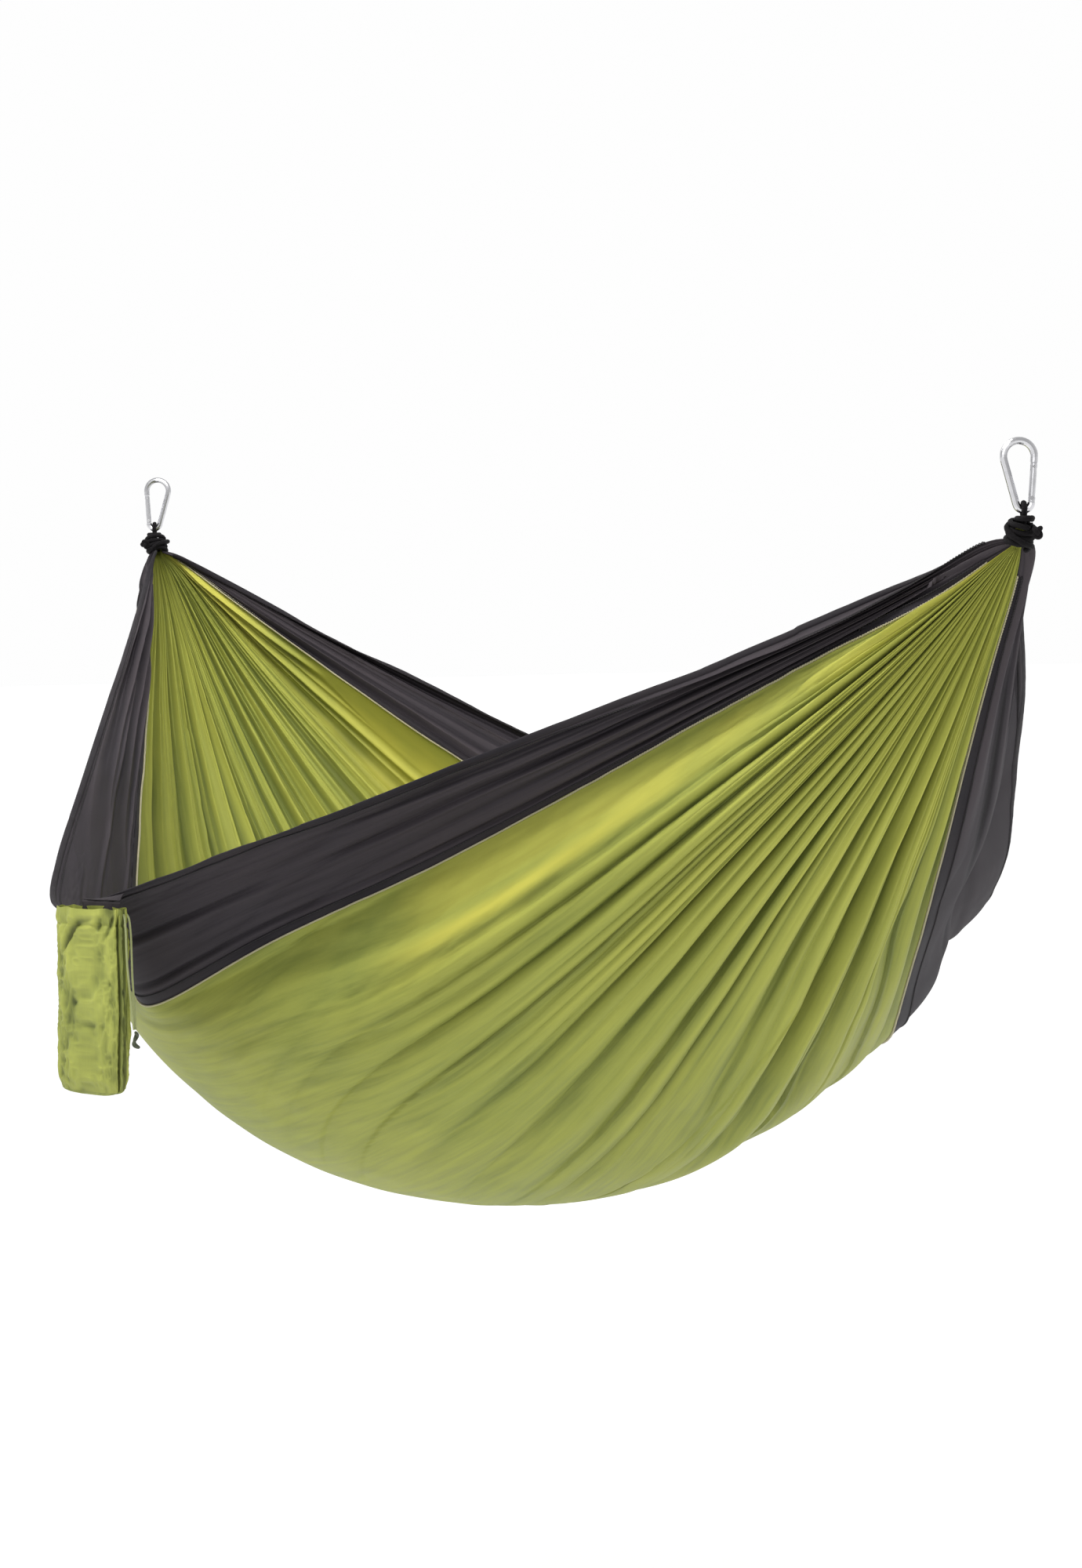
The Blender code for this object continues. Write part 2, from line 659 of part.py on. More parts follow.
def sack_section(half_width, half_thick, z, count=28):
    """A rounded flat section of the sack, centred behind the tab."""
    centre_y = -(SACK_THICK / 2 + TAB_THICK + 3 * GAP)
    ring = []
    for k in range(count):
        a = 2 * math.pi * k / count
        c, s = math.cos(a), math.sin(a)
        x = half_width * math.copysign(abs(c) ** 0.55, c)
        y = half_thick * math.copysign(abs(s) ** 0.75, s)
        ring.append((x, centre_y + y, z))
    return ring


def sack_sleeve(name, high, low, grow, wall, steps, frame, look):
    """An open sleeve of the sack between two heights."""
    rows = []
    for z in np.linspace(high, low, steps):
        outer = sack_section(SACK_WIDTH / 2 + grow, SACK_THICK / 2 + grow, float(z))
        inner = sack_section(SACK_WIDTH / 2 + grow - wall, SACK_THICK / 2 + grow - wall, float(z))
        rows.append((inner, outer))
    bm = bmesh.new()
    skins = [[[bm.verts.new(p) for p in row[face]] for row in rows] for face in (0, 1)]
    sides = len(rows[0][0])
    for skin in skins:
        for lower, upper in zip(skin, skin[1:]):
            for i in range(sides):
                j = (i + 1) % sides
                bm.faces.new((lower[i], lower[j], upper[j], upper[i]))
    for row in (0, -1):
        inner, outer = skins[0][row], skins[1][row]
        for i in range(sides):
            j = (i + 1) % sides
            bm.faces.new((inner[i], inner[j], outer[j], outer[i]))
    return add(name, finish_mesh(bm, name), frame, look)


def stuff_sack(frame):
    point, _, _ = bed_frame(SACK_PLACE, -1)
    outward = Vector((math.sin(SACK_TURN), -math.cos(SACK_TURN), 0))
    hinge_at = point + outward * TAB_STAND
    place = Matrix.Translation(hinge_at) @ Matrix.Rotation(SACK_TURN, 4, "Z")
    hinge = empty("sack_axis", frame, place)
    look = (SACK_GREEN, 0.6)
    top = -SACK_DROP
    body_top = top - CHANNEL_HEIGHT - GAP
    base_top = top - SACK_HEIGHT + BASE_HEIGHT
    sack_sleeve("sack_channel", top, top - CHANNEL_HEIGHT, 0, CHANNEL_WALL, 3, hinge, look)
    sack_sleeve("sack_body", body_top, base_top + GAP, 0, SACK_WALL, 7, hinge, look)
    half_width, half_thick = SACK_WIDTH / 2, SACK_THICK / 2
    base = [sack_section(half_width, half_thick, base_top)]
    for share in (0.9, 0.65, 0.3):
        z = base_top - BASE_HEIGHT * math.sqrt(1 - share**2) / math.sqrt(1 - 0.3**2)
        base.append(sack_section(half_width * (0.55 + 0.45 * share), half_thick * share, z))
    add("sack_base", loft_mesh("sack_base", base), hinge, look)
    bm = bmesh.new()
    bmesh.ops.create_cube(bm, size=1)
    bmesh.ops.scale(bm, vec=(TAB_WIDTH, TAB_THICK, SACK_DROP + TAB_LAP), verts=bm.verts)
    tab_at = Matrix.Translation((0, -TAB_THICK / 2, -(SACK_DROP + TAB_LAP) / 2))
    add("sack_tab", finish_mesh(bm, "sack_tab"), hinge, (CHARCOAL, 0.7), tab_at)
    drawstring(hinge, top)


def drawstring(hinge, top):
    """The loop inside the mouth, and the two tails that hang from it to the knot they end in."""
    look = (STRING_GREEN, 0.7)
    inset = CHANNEL_WALL + DRAWSTRING / 2 + GAP
    loop = sack_section(SACK_WIDTH / 2 - inset, SACK_THICK / 2 - inset, top - 0.008, 36)
    tube("sack_drawstring", loop, DRAWSTRING, hinge, look, closed=True)
    start_x = SACK_WIDTH / 2 + DRAWSTRING / 2 + GAP
    centre_y = -(SACK_THICK / 2 + TAB_THICK + 3 * GAP)
    for name, side in (("a", -STRING_SIDE), ("b", STRING_SIDE)):
        route = [(start_x + out, centre_y + side * share, top - down) for out, share, down in STRING_ROUTE]
        tube(f"drawstring_tail_{name}", smooth_route(route, STRING_STEP), DRAWSTRING, hinge, look)
    bm = bmesh.new()
    bmesh.ops.create_uvsphere(bm, u_segments=10, v_segments=6, radius=1)
    bmesh.ops.scale(bm, vec=TAIL_KNOT, verts=bm.verts)
    out, down = TAIL_KNOT_AT
    knot_at = Matrix.Translation((start_x + out, centre_y, top - down))
    add("drawstring_knot", finish_mesh(bm, "drawstring_knot"), hinge, (KNOT_GREEN, 0.7), knot_at)


def hang_point():
    """Inside the left hook's bow, from the middle of the line between the gathers."""
    aside = -BOW_CENTRE[0] * hook_width()
    rise = BOW_CENTRE[1] + BOW_RADIUS - WIRE / 2
    return hook_seat(-1) + aside + Vector((0, 0, rise))


def main():
    clear_scene()
    frame = empty("hammock", None, Matrix.Translation(-hang_point()))
    panels(frame)
    for side, side_name in ((-1, "near"), (1, "far")):
        seam_tape(f"{side_name}_seam", side, frame)
        hem(f"{side_name}_hem", side, frame)
    for end, end_name in ((-1, "left"), (1, "right")):
        whipping(f"rope_whipping_{end_name}", end, frame)
        rope_loop(f"rope_loop_{end_name}", end, frame)
        stopper_knot(f"stopper_knot_{end_name}", end, frame)
        snap_hook(end_name, end, frame)
    stuff_sack(frame)


main()
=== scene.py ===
import math

import bpy
import numpy as np
from mathutils import Matrix, Vector


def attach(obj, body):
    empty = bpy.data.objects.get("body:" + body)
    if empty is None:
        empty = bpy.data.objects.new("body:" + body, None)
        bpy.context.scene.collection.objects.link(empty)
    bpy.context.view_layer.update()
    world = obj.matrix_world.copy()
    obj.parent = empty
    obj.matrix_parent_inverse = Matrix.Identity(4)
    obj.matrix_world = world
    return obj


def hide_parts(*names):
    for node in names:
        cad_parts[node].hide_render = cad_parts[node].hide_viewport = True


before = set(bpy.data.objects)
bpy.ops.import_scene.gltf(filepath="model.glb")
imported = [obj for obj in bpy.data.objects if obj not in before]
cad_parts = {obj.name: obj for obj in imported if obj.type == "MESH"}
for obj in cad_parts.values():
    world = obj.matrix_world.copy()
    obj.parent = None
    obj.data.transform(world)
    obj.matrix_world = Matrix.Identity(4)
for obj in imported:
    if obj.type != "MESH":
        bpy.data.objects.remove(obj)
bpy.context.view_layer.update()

# The bed's surface, as the CAD panels have it, in metres
HALF_SPAN, BED_DEPTH, SEAM = 1.060, 0.825, 0.70
MID_ROUND, ROUND_FADE = 4.8, 1.35
SIDES = {
    -1: dict(seam=(0.547, 0.516), hem=(0.422, 0.631), spread=0.994, round=(0.070, 0.065), lean=0.021),
    1: dict(seam=(0.590, 0.522), hem=(0.484, 0.650), spread=0.667, round=(0.187, 0.211), lean=0.013),
}
DRIFT_START, DRIFT_EASE, SEAM_DRIFT = -0.05, 0.15, 0.50
GATHER_TURN, TURN_FADE = 0.20, 16
LEFT_TURN, LEFT_FADE = 0.42, 14
# The near seam's own turn at the right gather, and its dip past mid-length: (share, power), (depth, middle, reach)
NEAR_TURN, NEAR_DIP = (0.16, 12), (0.028, 0.20, 0.15)
NECK_TILT, CLOTH_FAN = math.radians(25), math.radians(150)
NECK_RADIUS, NECK_LENGTH = 0.0085, 0.028
FLARE_RADIUS, FLARE_FADE, PINCH_FADE = 0.020, 8, 0.012
HOME = np.array([1.06933, -0.00433, -0.10538])

# The uncut cloth, a stitch, where the seams end, the CAD sheets' thickness, and the gap between pieces
CUT_LENGTH, CUT_WIDTH, STITCH, SEAM_END = 2.75, 1.54, 0.0036, 0.985
CLOTH, GAP = 0.0025, 0.0003

# Rope and hooks
ROPE, WIRE = 0.006, 0.008
WHIP_TURNS, WHIP_PITCH = 4, 0.0064
HOOK_TURN, HOOK_RISE = math.radians(30), 0.012
HOOK_NORMAL = np.array([math.cos(HOOK_TURN), -math.sin(HOOK_TURN), 0])
HOOK_WIDE = np.array([math.sin(HOOK_TURN), math.cos(HOOK_TURN), 0])


# Meshes


def link(obj):
    bpy.context.scene.collection.objects.link(obj)
    return obj


def grid_piece(name, points, uv, closed=False, colours=None):
    """A quad mesh over an (n, m, 3) grid of points, with a UV map in metres. A closed grid's columns run round."""
    n, m = points.shape[:2]
    index = np.arange(n * m).reshape(n, m)
    right = np.roll(index, -1, axis=1) if closed else index[:, 1:]
    left = index if closed else index[:, :-1]
    quads = np.stack([left[:-1], right[:-1], right[1:], left[1:]], -1).reshape(-1, 4)
    mesh = bpy.data.meshes.new(name)
    mesh.vertices.add(n * m)
    mesh.vertices.foreach_set("co", points.reshape(-1).astype(np.float32))
    mesh.loops.add(quads.size)
    mesh.loops.foreach_set("vertex_index", quads.reshape(-1).astype(np.int32))
    mesh.polygons.add(len(quads))
    mesh.polygons.foreach_set("loop_start", np.arange(0, quads.size, 4, dtype=np.int32))
    mesh.update(calc_edges=True)
    mesh.shade_smooth()
    if closed:
        uv = np.concatenate([uv, uv[:, :1] + [uv[:, -1, 0].max() / (m - 1), 0]], 1)
    corners = np.stack([uv[:-1, :-1], uv[:-1, 1:], uv[1:, 1:], uv[1:, :-1]], 2)
    mesh.uv_layers.new(name="cloth").data.foreach_set("uv", corners.reshape(-1).astype(np.float32))
    if colours is not None:
        rgba = np.ones((n * m, 4), np.float32)
        rgba[:, :3] = colours.reshape(-1, 3)
        mesh.color_attributes.new("fold", "FLOAT_COLOR", "POINT").data.foreach_set("color", rgba.reshape(-1))
    return link(bpy.data.objects.new(name, mesh))


def unit(a):
    return a / np.maximum(np.linalg.norm(a, axis=-1, keepdims=True), 1e-12)


def run_of(points):
    """How far along a line of points each one lies."""
    return np.concatenate([[0], np.cumsum(np.linalg.norm(np.diff(points, axis=0), axis=1))])


def at_runs(wanted, runs, values):
    """A line's values at the wanted distances along it."""
    return np.stack([np.interp(wanted, runs, values[:, k]) for k in range(3)], 1)


def catmull(points, step):
    """Points a step apart along the smooth curve that the CAD's cords and ropes follow."""
    points = [Vector(p) for p in points]
    ends = [2 * points[0] - points[1], *points, 2 * points[-1] - points[-2]]
    dense = [points[0]]
    for a, b, c, d in zip(ends, ends[1:], ends[2:], ends[3:]):
        for k in range(1, 21):
            t = k / 20
            dense.append((2 * b + (c - a) * t + (2 * a - 5 * b + 4 * c - d) * t**2
                          + (3 * b - a - 3 * c + d) * t**3) / 2)
    spots = np.array(dense)
    runs = run_of(spots)
    return at_runs(np.linspace(0, runs[-1], max(3, round(runs[-1] / step) + 1)), runs, spots)


def rope_piece(name, route, diameter, sides=16, swell=0.0, taper=0.0, closed=False):
    """A round rope along a route, with UVs in metres: round it, and along it."""
    route = np.asarray(route, float)
    n = len(route)
    if closed:
        along = unit(np.roll(route, -1, 0) - np.roll(route, 1, 0))
    else:
        along = unit(np.gradient(route, axis=0))
    side = unit(np.cross(along[0], [0.31, 0.17, 0.93]))
    sideways = [side]
    for k in range(1, n):
        side = side - along[k] * side.dot(along[k])
        side = side / np.linalg.norm(side)
        sideways.append(side)
    side = np.array(sideways)
    up = np.cross(along, side)
    far = run_of(route)
    radius = np.full(n, diameter / 2)
    if taper:
        edge = np.minimum(far, far[-1] - far) / taper
        radius = radius * np.sqrt(np.clip(1 - (1 - np.clip(edge, 0, 1)) ** 2, 0.02, 1))
    angle = np.linspace(0, 2 * math.pi, sides, endpoint=False)
    ring = side[:, None] * np.cos(angle)[None, :, None] + up[:, None] * np.sin(angle)[None, :, None]
    bulge = 1 + swell * np.sin(far[:, None] / diameter * 5.5 + angle[None] * 2)
    points = route[:, None] + ring * (radius[:, None] * bulge)[..., None]
    uv = np.stack(np.broadcast_arrays(angle[None] * diameter / 2, far[:, None]), -1)
    if closed:
        points = np.concatenate([points, points[:1]])
        uv = np.concatenate([uv, uv[:1] + [0, far[-1]]])
    return grid_piece(name, points, uv, closed=True)


# Noise that gives the same values each run


def wave(x, seed, octaves=4, base=1.0):
    """Smooth 1-D noise of about unit size from summed sines with seeded phases."""
    rng = np.random.default_rng(seed)
    total = 0
    for k in range(octaves):
        f = base * (1.9**k) * rng.uniform(0.85, 1.15)
        total = total + np.sin(2 * math.pi * f * x + rng.uniform(0, 6.28)) / (1.5**k)
    return total / 1.6


def lattice(x, y, seed):
    """Value noise on a unit grid, from -1 to 1."""
    rng = np.random.default_rng(seed)
    table = rng.uniform(-1, 1, (256, 256))
    xi, yi = np.floor(x).astype(int), np.floor(y).astype(int)
    fx, fy = x - xi, y - yi
    fx, fy = fx * fx * (3 - 2 * fx), fy * fy * (3 - 2 * fy)
    a, b = table[xi % 256, yi % 256], table[(xi + 1) % 256, yi % 256]
    c, d = table[xi % 256, (yi + 1) % 256], table[(xi + 1) % 256, (yi + 1) % 256]
    return (a * (1 - fx) + b * fx) * (1 - fy) + (c * (1 - fx) + d * fx) * fy


def ridges(x, y, seed):
    """Noise with sharp creases and broad flats between them, from -1 to 1."""
    return 1 - 2 * np.abs(lattice(x, y, seed))


# The bed


def bell(x, reach):
    """A smooth hump of height 1 at 0."""
    return np.exp(-((x / reach) ** 2))


def smooth(x):
    x = np.clip(x, 0, 1)
    return x * x * (3 - 2 * x)


def through(first, last, power):
    """The two terms of a side's curve that pass through its values at the seam and at the hem."""
    return np.linalg.solve([[SEAM**power, SEAM ** (power + 2)], [1, 1]], [first, last])


def width_place(u, v):
    """Where the cloth at v lies across the bed: the far seam drifts towards the right gather."""
    past = np.minimum(u, 1) - DRIFT_START
    drift = SEAM_DRIFT * (past + np.hypot(past, DRIFT_EASE)) / 2 / (1 - DRIFT_START)
    seam = SEAM - drift - GATHER_TURN * np.clip(u, 0, 1) ** TURN_FADE
    turn, fade = NEAR_TURN
    depth, at, reach = NEAR_DIP
    near_seam = -SEAM + LEFT_TURN * np.clip(-u, 0, 1) ** LEFT_FADE + turn * np.clip(u, 0, 1) ** fade
    near_seam = near_seam - depth * bell(u - at, reach)
    middle = near_seam + (v + SEAM) * (seam - near_seam) / (2 * SEAM)
    far = seam + (v - SEAM) * (1 - seam) / (1 - SEAM)
    near = -1 + (v + 1) * (near_seam + 1) / (1 - SEAM)
    return np.where(v < -SEAM, near, np.where(v < SEAM, middle, far))


def bed(u, v):
    """The cloth's smooth mid-surface at (u, v), as arrays."""
    u, v = np.broadcast_arrays(np.asarray(u, float), np.asarray(v, float))
    v = width_place(u, v)
    a = np.abs(v)
    end = np.where(u > 0, 1.0, -1.0)
    inside = np.minimum(np.abs(u), 1.0)
    depth, out, roundness, lean = (np.zeros_like(a) for _ in range(4))
    for side, s in SIDES.items():
        here = v > 0 if side > 0 else v <= 0
        p, q = through(s["seam"][0] - BED_DEPTH, s["hem"][0] - BED_DEPTH, 2)
        depth = np.where(here, BED_DEPTH + p * a**2 + q * a**4, depth)
        p, q = through(s["seam"][1] - s["spread"] * SEAM, s["hem"][1] - s["spread"], 3)
        out = np.where(here, s["spread"] * a + p * a**3 + q * a**5, out)
        first, last = s["round"]
        middle = first + (MID_ROUND - first) * np.clip(1 - (a / SEAM) ** 2, 0, 1) ** ROUND_FADE
        edge = first + (last - first) * (a - SEAM) / (1 - SEAM)
        roundness = np.where(here, np.where(a < SEAM, middle, edge), roundness)
        lean = np.where(here, s["lean"], lean)
    fall = 1 - (np.hypot(inside, roundness) - roundness) / (np.hypot(1, roundness) - roundness)
    x = HALF_SPAN * (end * inside + lean * a * (1 - inside**2))
    flare = FLARE_RADIUS * inside**FLARE_FADE - (FLARE_RADIUS - NECK_RADIUS) * np.exp((inside - 1) / PINCH_FADE)
    beyond = np.maximum(np.abs(u) - 1, 0)
    angle = v * CLOTH_FAN
    st, ct = math.sin(NECK_TILT), math.cos(NECK_TILT)
    px = x + end * (ct * np.cos(angle) * flare + st * beyond)
    py = np.sign(v) * out * fall + np.sin(angle) * flare
    pz = -depth * fall - st * np.cos(angle) * flare + ct * beyond
    return np.stack([px, py, pz], -1) + HOME


def bed_normal(u, v, step=1e-4):
    """The surface's normal, away from the hollow."""
    along = bed(u + step, v) - bed(u - step, v)
    across = bed(u, v + step) - bed(u, v - step)
    return unit(np.cross(across, along))


# How unevenly wide the folds are, and how wide a valley is beside its ridge
FOLD_JITTER, VALLEY = 0.55, 0.07


def fold_set(v, spacing, seed):
    """For each v: place within its fold (0 to 1), the fold's width, and its random numbers."""
    rng = np.random.default_rng(seed)
    edges = [-1.8]
    while edges[-1] < 1.8:
        edges.append(edges[-1] + spacing / (CUT_WIDTH / 2) * rng.uniform(1 - FOLD_JITTER, 1 + FOLD_JITTER))
    edges = np.array(edges)
    own = rng.uniform(0, 1, (len(edges), 4))
    k = np.clip(np.searchsorted(edges, v, side="right") - 1, 0, len(edges) - 2)
    width = edges[k + 1] - edges[k]
    return (v - edges[k]) / width, width * CUT_WIDTH / 2, own[k]


def hill(t, skew):
    """A broad rounded ridge between two narrow valleys, 0 to 1."""
    t = np.clip(t + skew * np.sin(2 * math.pi * t) / (2 * math.pi), 0, 1)
    s = np.sin(math.pi * t)
    return (np.sqrt(s * s + VALLEY**2) - VALLEY) / (math.sqrt(1 + VALLEY**2) - VALLEY)


# Where the cloth hangs slack between pleats: (u, v, reach in u, reach in v, depth)
HOLLOWS = ((0.53, 0.80, 0.13, 0.10, 0.024), (0.66, 0.55, 0.05, 0.05, 0.006), (0.47, 0.40, 0.05, 0.05, 0.007))

# Long creases in the side bands, beside the pleats, also darkened with painted shade: (v, depth, half-width in v, from
# u, to u)
CREASES = (
    (-0.742, 0.0040, 0.006, -0.95, 0.95),
    (-0.852, 0.0048, 0.008, -0.75, 0.90),
    (-0.925, 0.0016, 0.006, -0.20, 0.85),
    (0.780, 0.0032, 0.010, 0.05, 0.97),
    (0.865, 0.0030, 0.010, -0.60, 0.96),
    (-0.655, 0.0035, 0.010, -0.10, 0.95),
    (-0.590, 0.0045, 0.014, 0.05, 0.95),
    (-0.510, 0.0040, 0.012, 0.20, 0.95),
)


# Pleats fan out from each gather: (end, seed, spacing factor, how far they crowd to one side)
FANS = ((-1, 11, 0.92, 0), (1, 23, 1.12, 0.20))
# and come in sizes: (spacing in m, height share, u where they start and are full, share left at the gather, seed)
PLEATS = (
    (0.070, 0.23, -0.02, 0.42, 0.70, 0),
    (0.033, 0.28, 0.26, 0.76, 0.95, 5),
    (0.016, 0.44, 0.66, 0.94, 1.0, 9),
)
WIDE_PLEAT = 0.05


def pleats(u, v):
    """How far the folded cloth stands out from the smooth surface, and a valley-to-ridge value of painted fold shade
    and highlight.
    """
    step = 1e-4
    width = np.linalg.norm(bed(u, v + step) - bed(u, v - step), axis=-1) / (2 * step)
    flat = np.linalg.norm(bed(0 * u, v + step) - bed(0 * u, v - step), axis=-1) / (2 * step)
    ratio = np.maximum(flat / np.maximum(width, 1e-6), 1.0)
    excess = np.sqrt(np.clip(1 - 1 / ratio**2, 0, 1))
    height = np.zeros_like(u)
    shade = np.zeros_like(u)
    for end, seed, wider, uneven in FANS:
        reach = end * u
        # Pleats run straight from the gather, so they cross the cloth's own threads far from it
        line = v + 1.3 * np.clip(0.45 - reach, 0, 0.7) ** 2 * np.tanh(4 * v)
        line = line + uneven * (1 - line**2)
        for spacing, share, start, full, near, seed_more in PLEATS:
            t, fold_width, own = fold_set(line + 0.004 * wave(u, seed + 3, 3, 1.3), spacing * wider, seed + seed_more)
            is_wide = spacing > WIDE_PLEAT
            size = 0.45 + 0.75 * own[..., 0]
            from_u = start - 0.28 * (own[..., 1] - 0.45) * (1 if is_wide else 0.6)
            rise = smooth((reach - from_u) / (full - start + 0.12))
            fade = 1 - (1 - near) * smooth((reach - 0.62) / 0.3)
            cap = 1.5 * fold_width / ratio
            tall = np.minimum(share * fold_width * excess * size, cap) * rise * fade
            h = hill(t, 1.1 * (own[..., 2] - 0.5))
            height += tall * (h - 0.55)
            # Painted shade in each fold's valleys and painted highlight on its ridges
            shade += rise * fade * (h - 0.5) * (1.0 if is_wide else 0.7) * np.minimum(excess * 1.4, 1)
    # A felled seam is stiff, so the pleats die out on it, and the bands are calmer than the middle panel
    stiff = 1 - 0.85 * bell(np.abs(v) - SEAM, 0.022)
    height *= stiff * (1 - 0.75 * smooth((np.abs(v) - 0.66) / 0.05) * (1 - smooth((np.abs(u) - 0.45) / 0.35)))
    height *= 1 - 0.5 * smooth((np.abs(v) - SEAM) / 0.05) * smooth((-u - 0.80) / 0.12)
    for place, depth, width, first, last in CREASES:
        seed = int(abs(place) * 1000)
        on = smooth((u - first) / 0.12) * smooth((last - u) / 0.12)
        line = place + 0.006 * wave(u, seed, 3, 0.9)
        cut = bell(v - line, width) - 0.45 * bell((v - line) / width - 1.9, 1)
        patchy = 0.65 + 0.35 * wave(u, seed + 1, 3, 1.6)
        height -= depth * on * patchy * cut
        # Painted shade along each crease
        shade -= on * patchy * (1.1 if abs(place) > SEAM else 0.7) * cut
    for place_u, place_v, wide_u, wide_v, depth in HOLLOWS:
        height -= depth * np.exp(-(((u - place_u) / wide_u) ** 2) - ((v - place_v) / wide_v) ** 2)
    crush = bell(v + 0.61, 0.10) * smooth((u - 0.02) / 0.3) + 0.5 * bell(v + 0.93, 0.06) * smooth((u + 0.3) / 0.3)
    lines = ridges(v * 80 + u * 30 + 40, u * 34 - v * 20 + 60, 6)
    height += 0.0012 * crush * lines * (1 - smooth((np.abs(u) - 0.8) / 0.15))
    # Painted shade and highlight on the crush lines near the near seam and the near hem
    shade += 0.13 * crush * lines
    calm = 1 - smooth((np.abs(u) - 0.75) / 0.2)
    height += calm * 0.0020 * lattice(u * 9 + 40, v * 7 + 40, 3)
    height += calm * 0.0009 * lattice(u * 24 + 40, v * 16 + 40, 4)
    return height, shade


def flat_uv(u, v):
    """Metres across and along the uncut cloth, from its middle."""
    line = np.linspace(-1.028, 1.028, 400)
    total = []
    for value in (-1, -0.7, 0, 0.7, 1):
        run = run_of(bed(line, np.full_like(line, value)))
        total.append(run - run[len(line) // 2])
    return np.stack([v * CUT_WIDTH / 2, np.interp(u, line, np.array(total).mean(0))], -1)


def bed_rows(count):
    """u values, closer together at mid-length and near the gathers."""
    t = np.linspace(-1, 1, count)
    u = t - 0.45 * np.sin(2 * math.pi * t) / (2 * math.pi)
    necks = np.array([0.004, 0.010, 0.017, 0.024])
    return np.concatenate([-1 - necks[::-1], u, 1 + necks])


def cloth(u, v):
    """Folded cloth points at (u, v), with their smooth normals and shade."""
    normal = bed_normal(u, v)
    height, shade = pleats(u, v)
    return bed(u, v) + normal * height[..., None], normal, shade


def panel(name, v_from, v_to, columns, rows):
    """A panel of the folded cloth. Its colours hold painted light and shade on the folds, a painted yellow highlight
    over a little plain tone, and how crinkled it is.
    """
    u, v = np.meshgrid(bed_rows(rows), np.linspace(v_from, v_to, columns), indexing="ij")
    points, _, shade = cloth(u, v)
    # The light falls on the other side of the folds where the bed's inside shows
    turned = 2 * smooth((u + 0.35) / 0.3) - 1
    calmer = 1 - 0.5 * smooth((u + 0.1) / 0.2) * (1 - smooth((u - 0.66) / 0.25)) - 0.35 * smooth((-u - 0.45) / 0.2)
    contrast = (0.36 + 0.75 * smooth((np.abs(u) - 0.2) / 0.8)) * calmer
    # Painted light and shade: fold shade and highlights, lighter over the bed's inside and lighter still at the left
    # gather
    value = np.clip(0.56 - 0.06 * turned + 0.20 * smooth((-u - 0.6) / 0.35) + contrast * shade * turned, 0, 1)
    # Painted shade: the centre panel darker towards mid-length, where the bed hangs lowest
    value = value * (1 - 0.12 * bell(u, 0.6) * (np.abs(v) < SEAM))
    # Painted yellow highlights: a streaky band outside the near seam, and bands on the bed's inside near both seams
    # towards the left end, over a little plain tone everywhere
    outer_highlight = 0.9 * bell(v + 0.640, 0.045) * smooth((u - 0.08) / 0.3)
    inside = bell(v - 0.62, 0.09) * smooth((-u - 0.10) / 0.2) + 0.8 * bell(v + 0.60, 0.09) * smooth((-u - 0.3) / 0.3)
    outer_highlight = outer_highlight * np.clip(0.75 + 0.8 * lattice(v * 55 + 9, u * 4 + 9, 7), 0, 1)
    inside = inside * np.clip(0.75 + 0.6 * lattice(v * 40 + 9, u * 4 + 9, 8), 0, 1)
    highlight_and_tone = np.clip(0.12 + 0.95 * outer_highlight + 0.9 * inside, 0, 1)
    crinkled = bell(v + 0.62, 0.09) * smooth((u + 0.02) / 0.25) + 0.7 * bell(v + 0.93, 0.06)
    colours = np.stack([value, highlight_and_tone, np.clip(crinkled, 0, 1)], -1)
    return grid_piece(name, points, flat_uv(u, v), colours=colours)


def rows_within(count, limit):
    rows = bed_rows(count)
    return rows[np.abs(rows) <= limit]


def layer(name, v_from, v_to, lift):
    """A strip of doubled cloth over the folded cloth between two v values, standing off both its faces."""
    t = np.linspace(0, 1, 9)
    place = np.concatenate([t, t[::-1]])
    rise = lift * np.concatenate([np.sin(math.pi * t) ** 0.35, -(np.sin(math.pi * t[::-1]) ** 0.35)])
    u, v = np.meshgrid(rows_within(420, SEAM_END), v_from + (v_to - v_from) * place, indexing="ij")
    here, normal, _ = cloth(u, v)
    points = here + normal * rise[None, :, None]
    return grid_piece(name, points, flat_uv(u, v), closed=True)


def hem_roll(name, side, half_wide, half_thick):
    """The rolled hem: a flat tube along the cloth's edge, puckered unevenly along its length."""
    base = rows_within(520, 0.99)
    edge = cloth(base, np.full_like(base, side))[0]
    inner = cloth(base, np.full_like(base, side * 0.985))[0]
    along = unit(np.gradient(edge, axis=0))
    across = unit(edge - inner)
    across = unit(across - along * (across * along).sum(-1, keepdims=True))
    outward = unit(np.cross(along, across))
    far = run_of(edge)
    pucker = 1 + 0.10 * wave(far, 60 + side, 3, 9) + 0.06 * wave(far, 61 + side, 2, 41)
    angle = np.linspace(0, 2 * math.pi, 12, endpoint=False)
    flat = np.sign(np.sin(angle)) * np.abs(np.sin(angle)) ** 0.8
    points = (edge[:, None] + across[:, None] * (np.cos(angle)[None, :, None] * half_wide)
              + outward[:, None] * (flat[None] * half_thick * pucker[:, None])[..., None])
    uv = np.stack(np.broadcast_arrays(angle[None] * half_wide, far[:, None]), -1)
    return grid_piece(name, points, uv, closed=True)


def thread_run(name, v, lift, diameter):
    """A line of lock stitches: thread that dips into the cloth once a stitch."""
    base = rows_within(2600, SEAM_END)
    here, normal, _ = cloth(base, np.full_like(base, v))
    run = run_of(here)
    wanted = np.linspace(0, run[-1], int(run[-1] / STITCH * 4))
    line = at_runs(wanted, run, here)
    out = unit(at_runs(wanted, run, normal))
    rise = lift + 0.0006 * np.cos(2 * math.pi * wanted / STITCH)
    return rope_piece(name, line + out * rise[:, None], diameter, sides=5)


# Materials


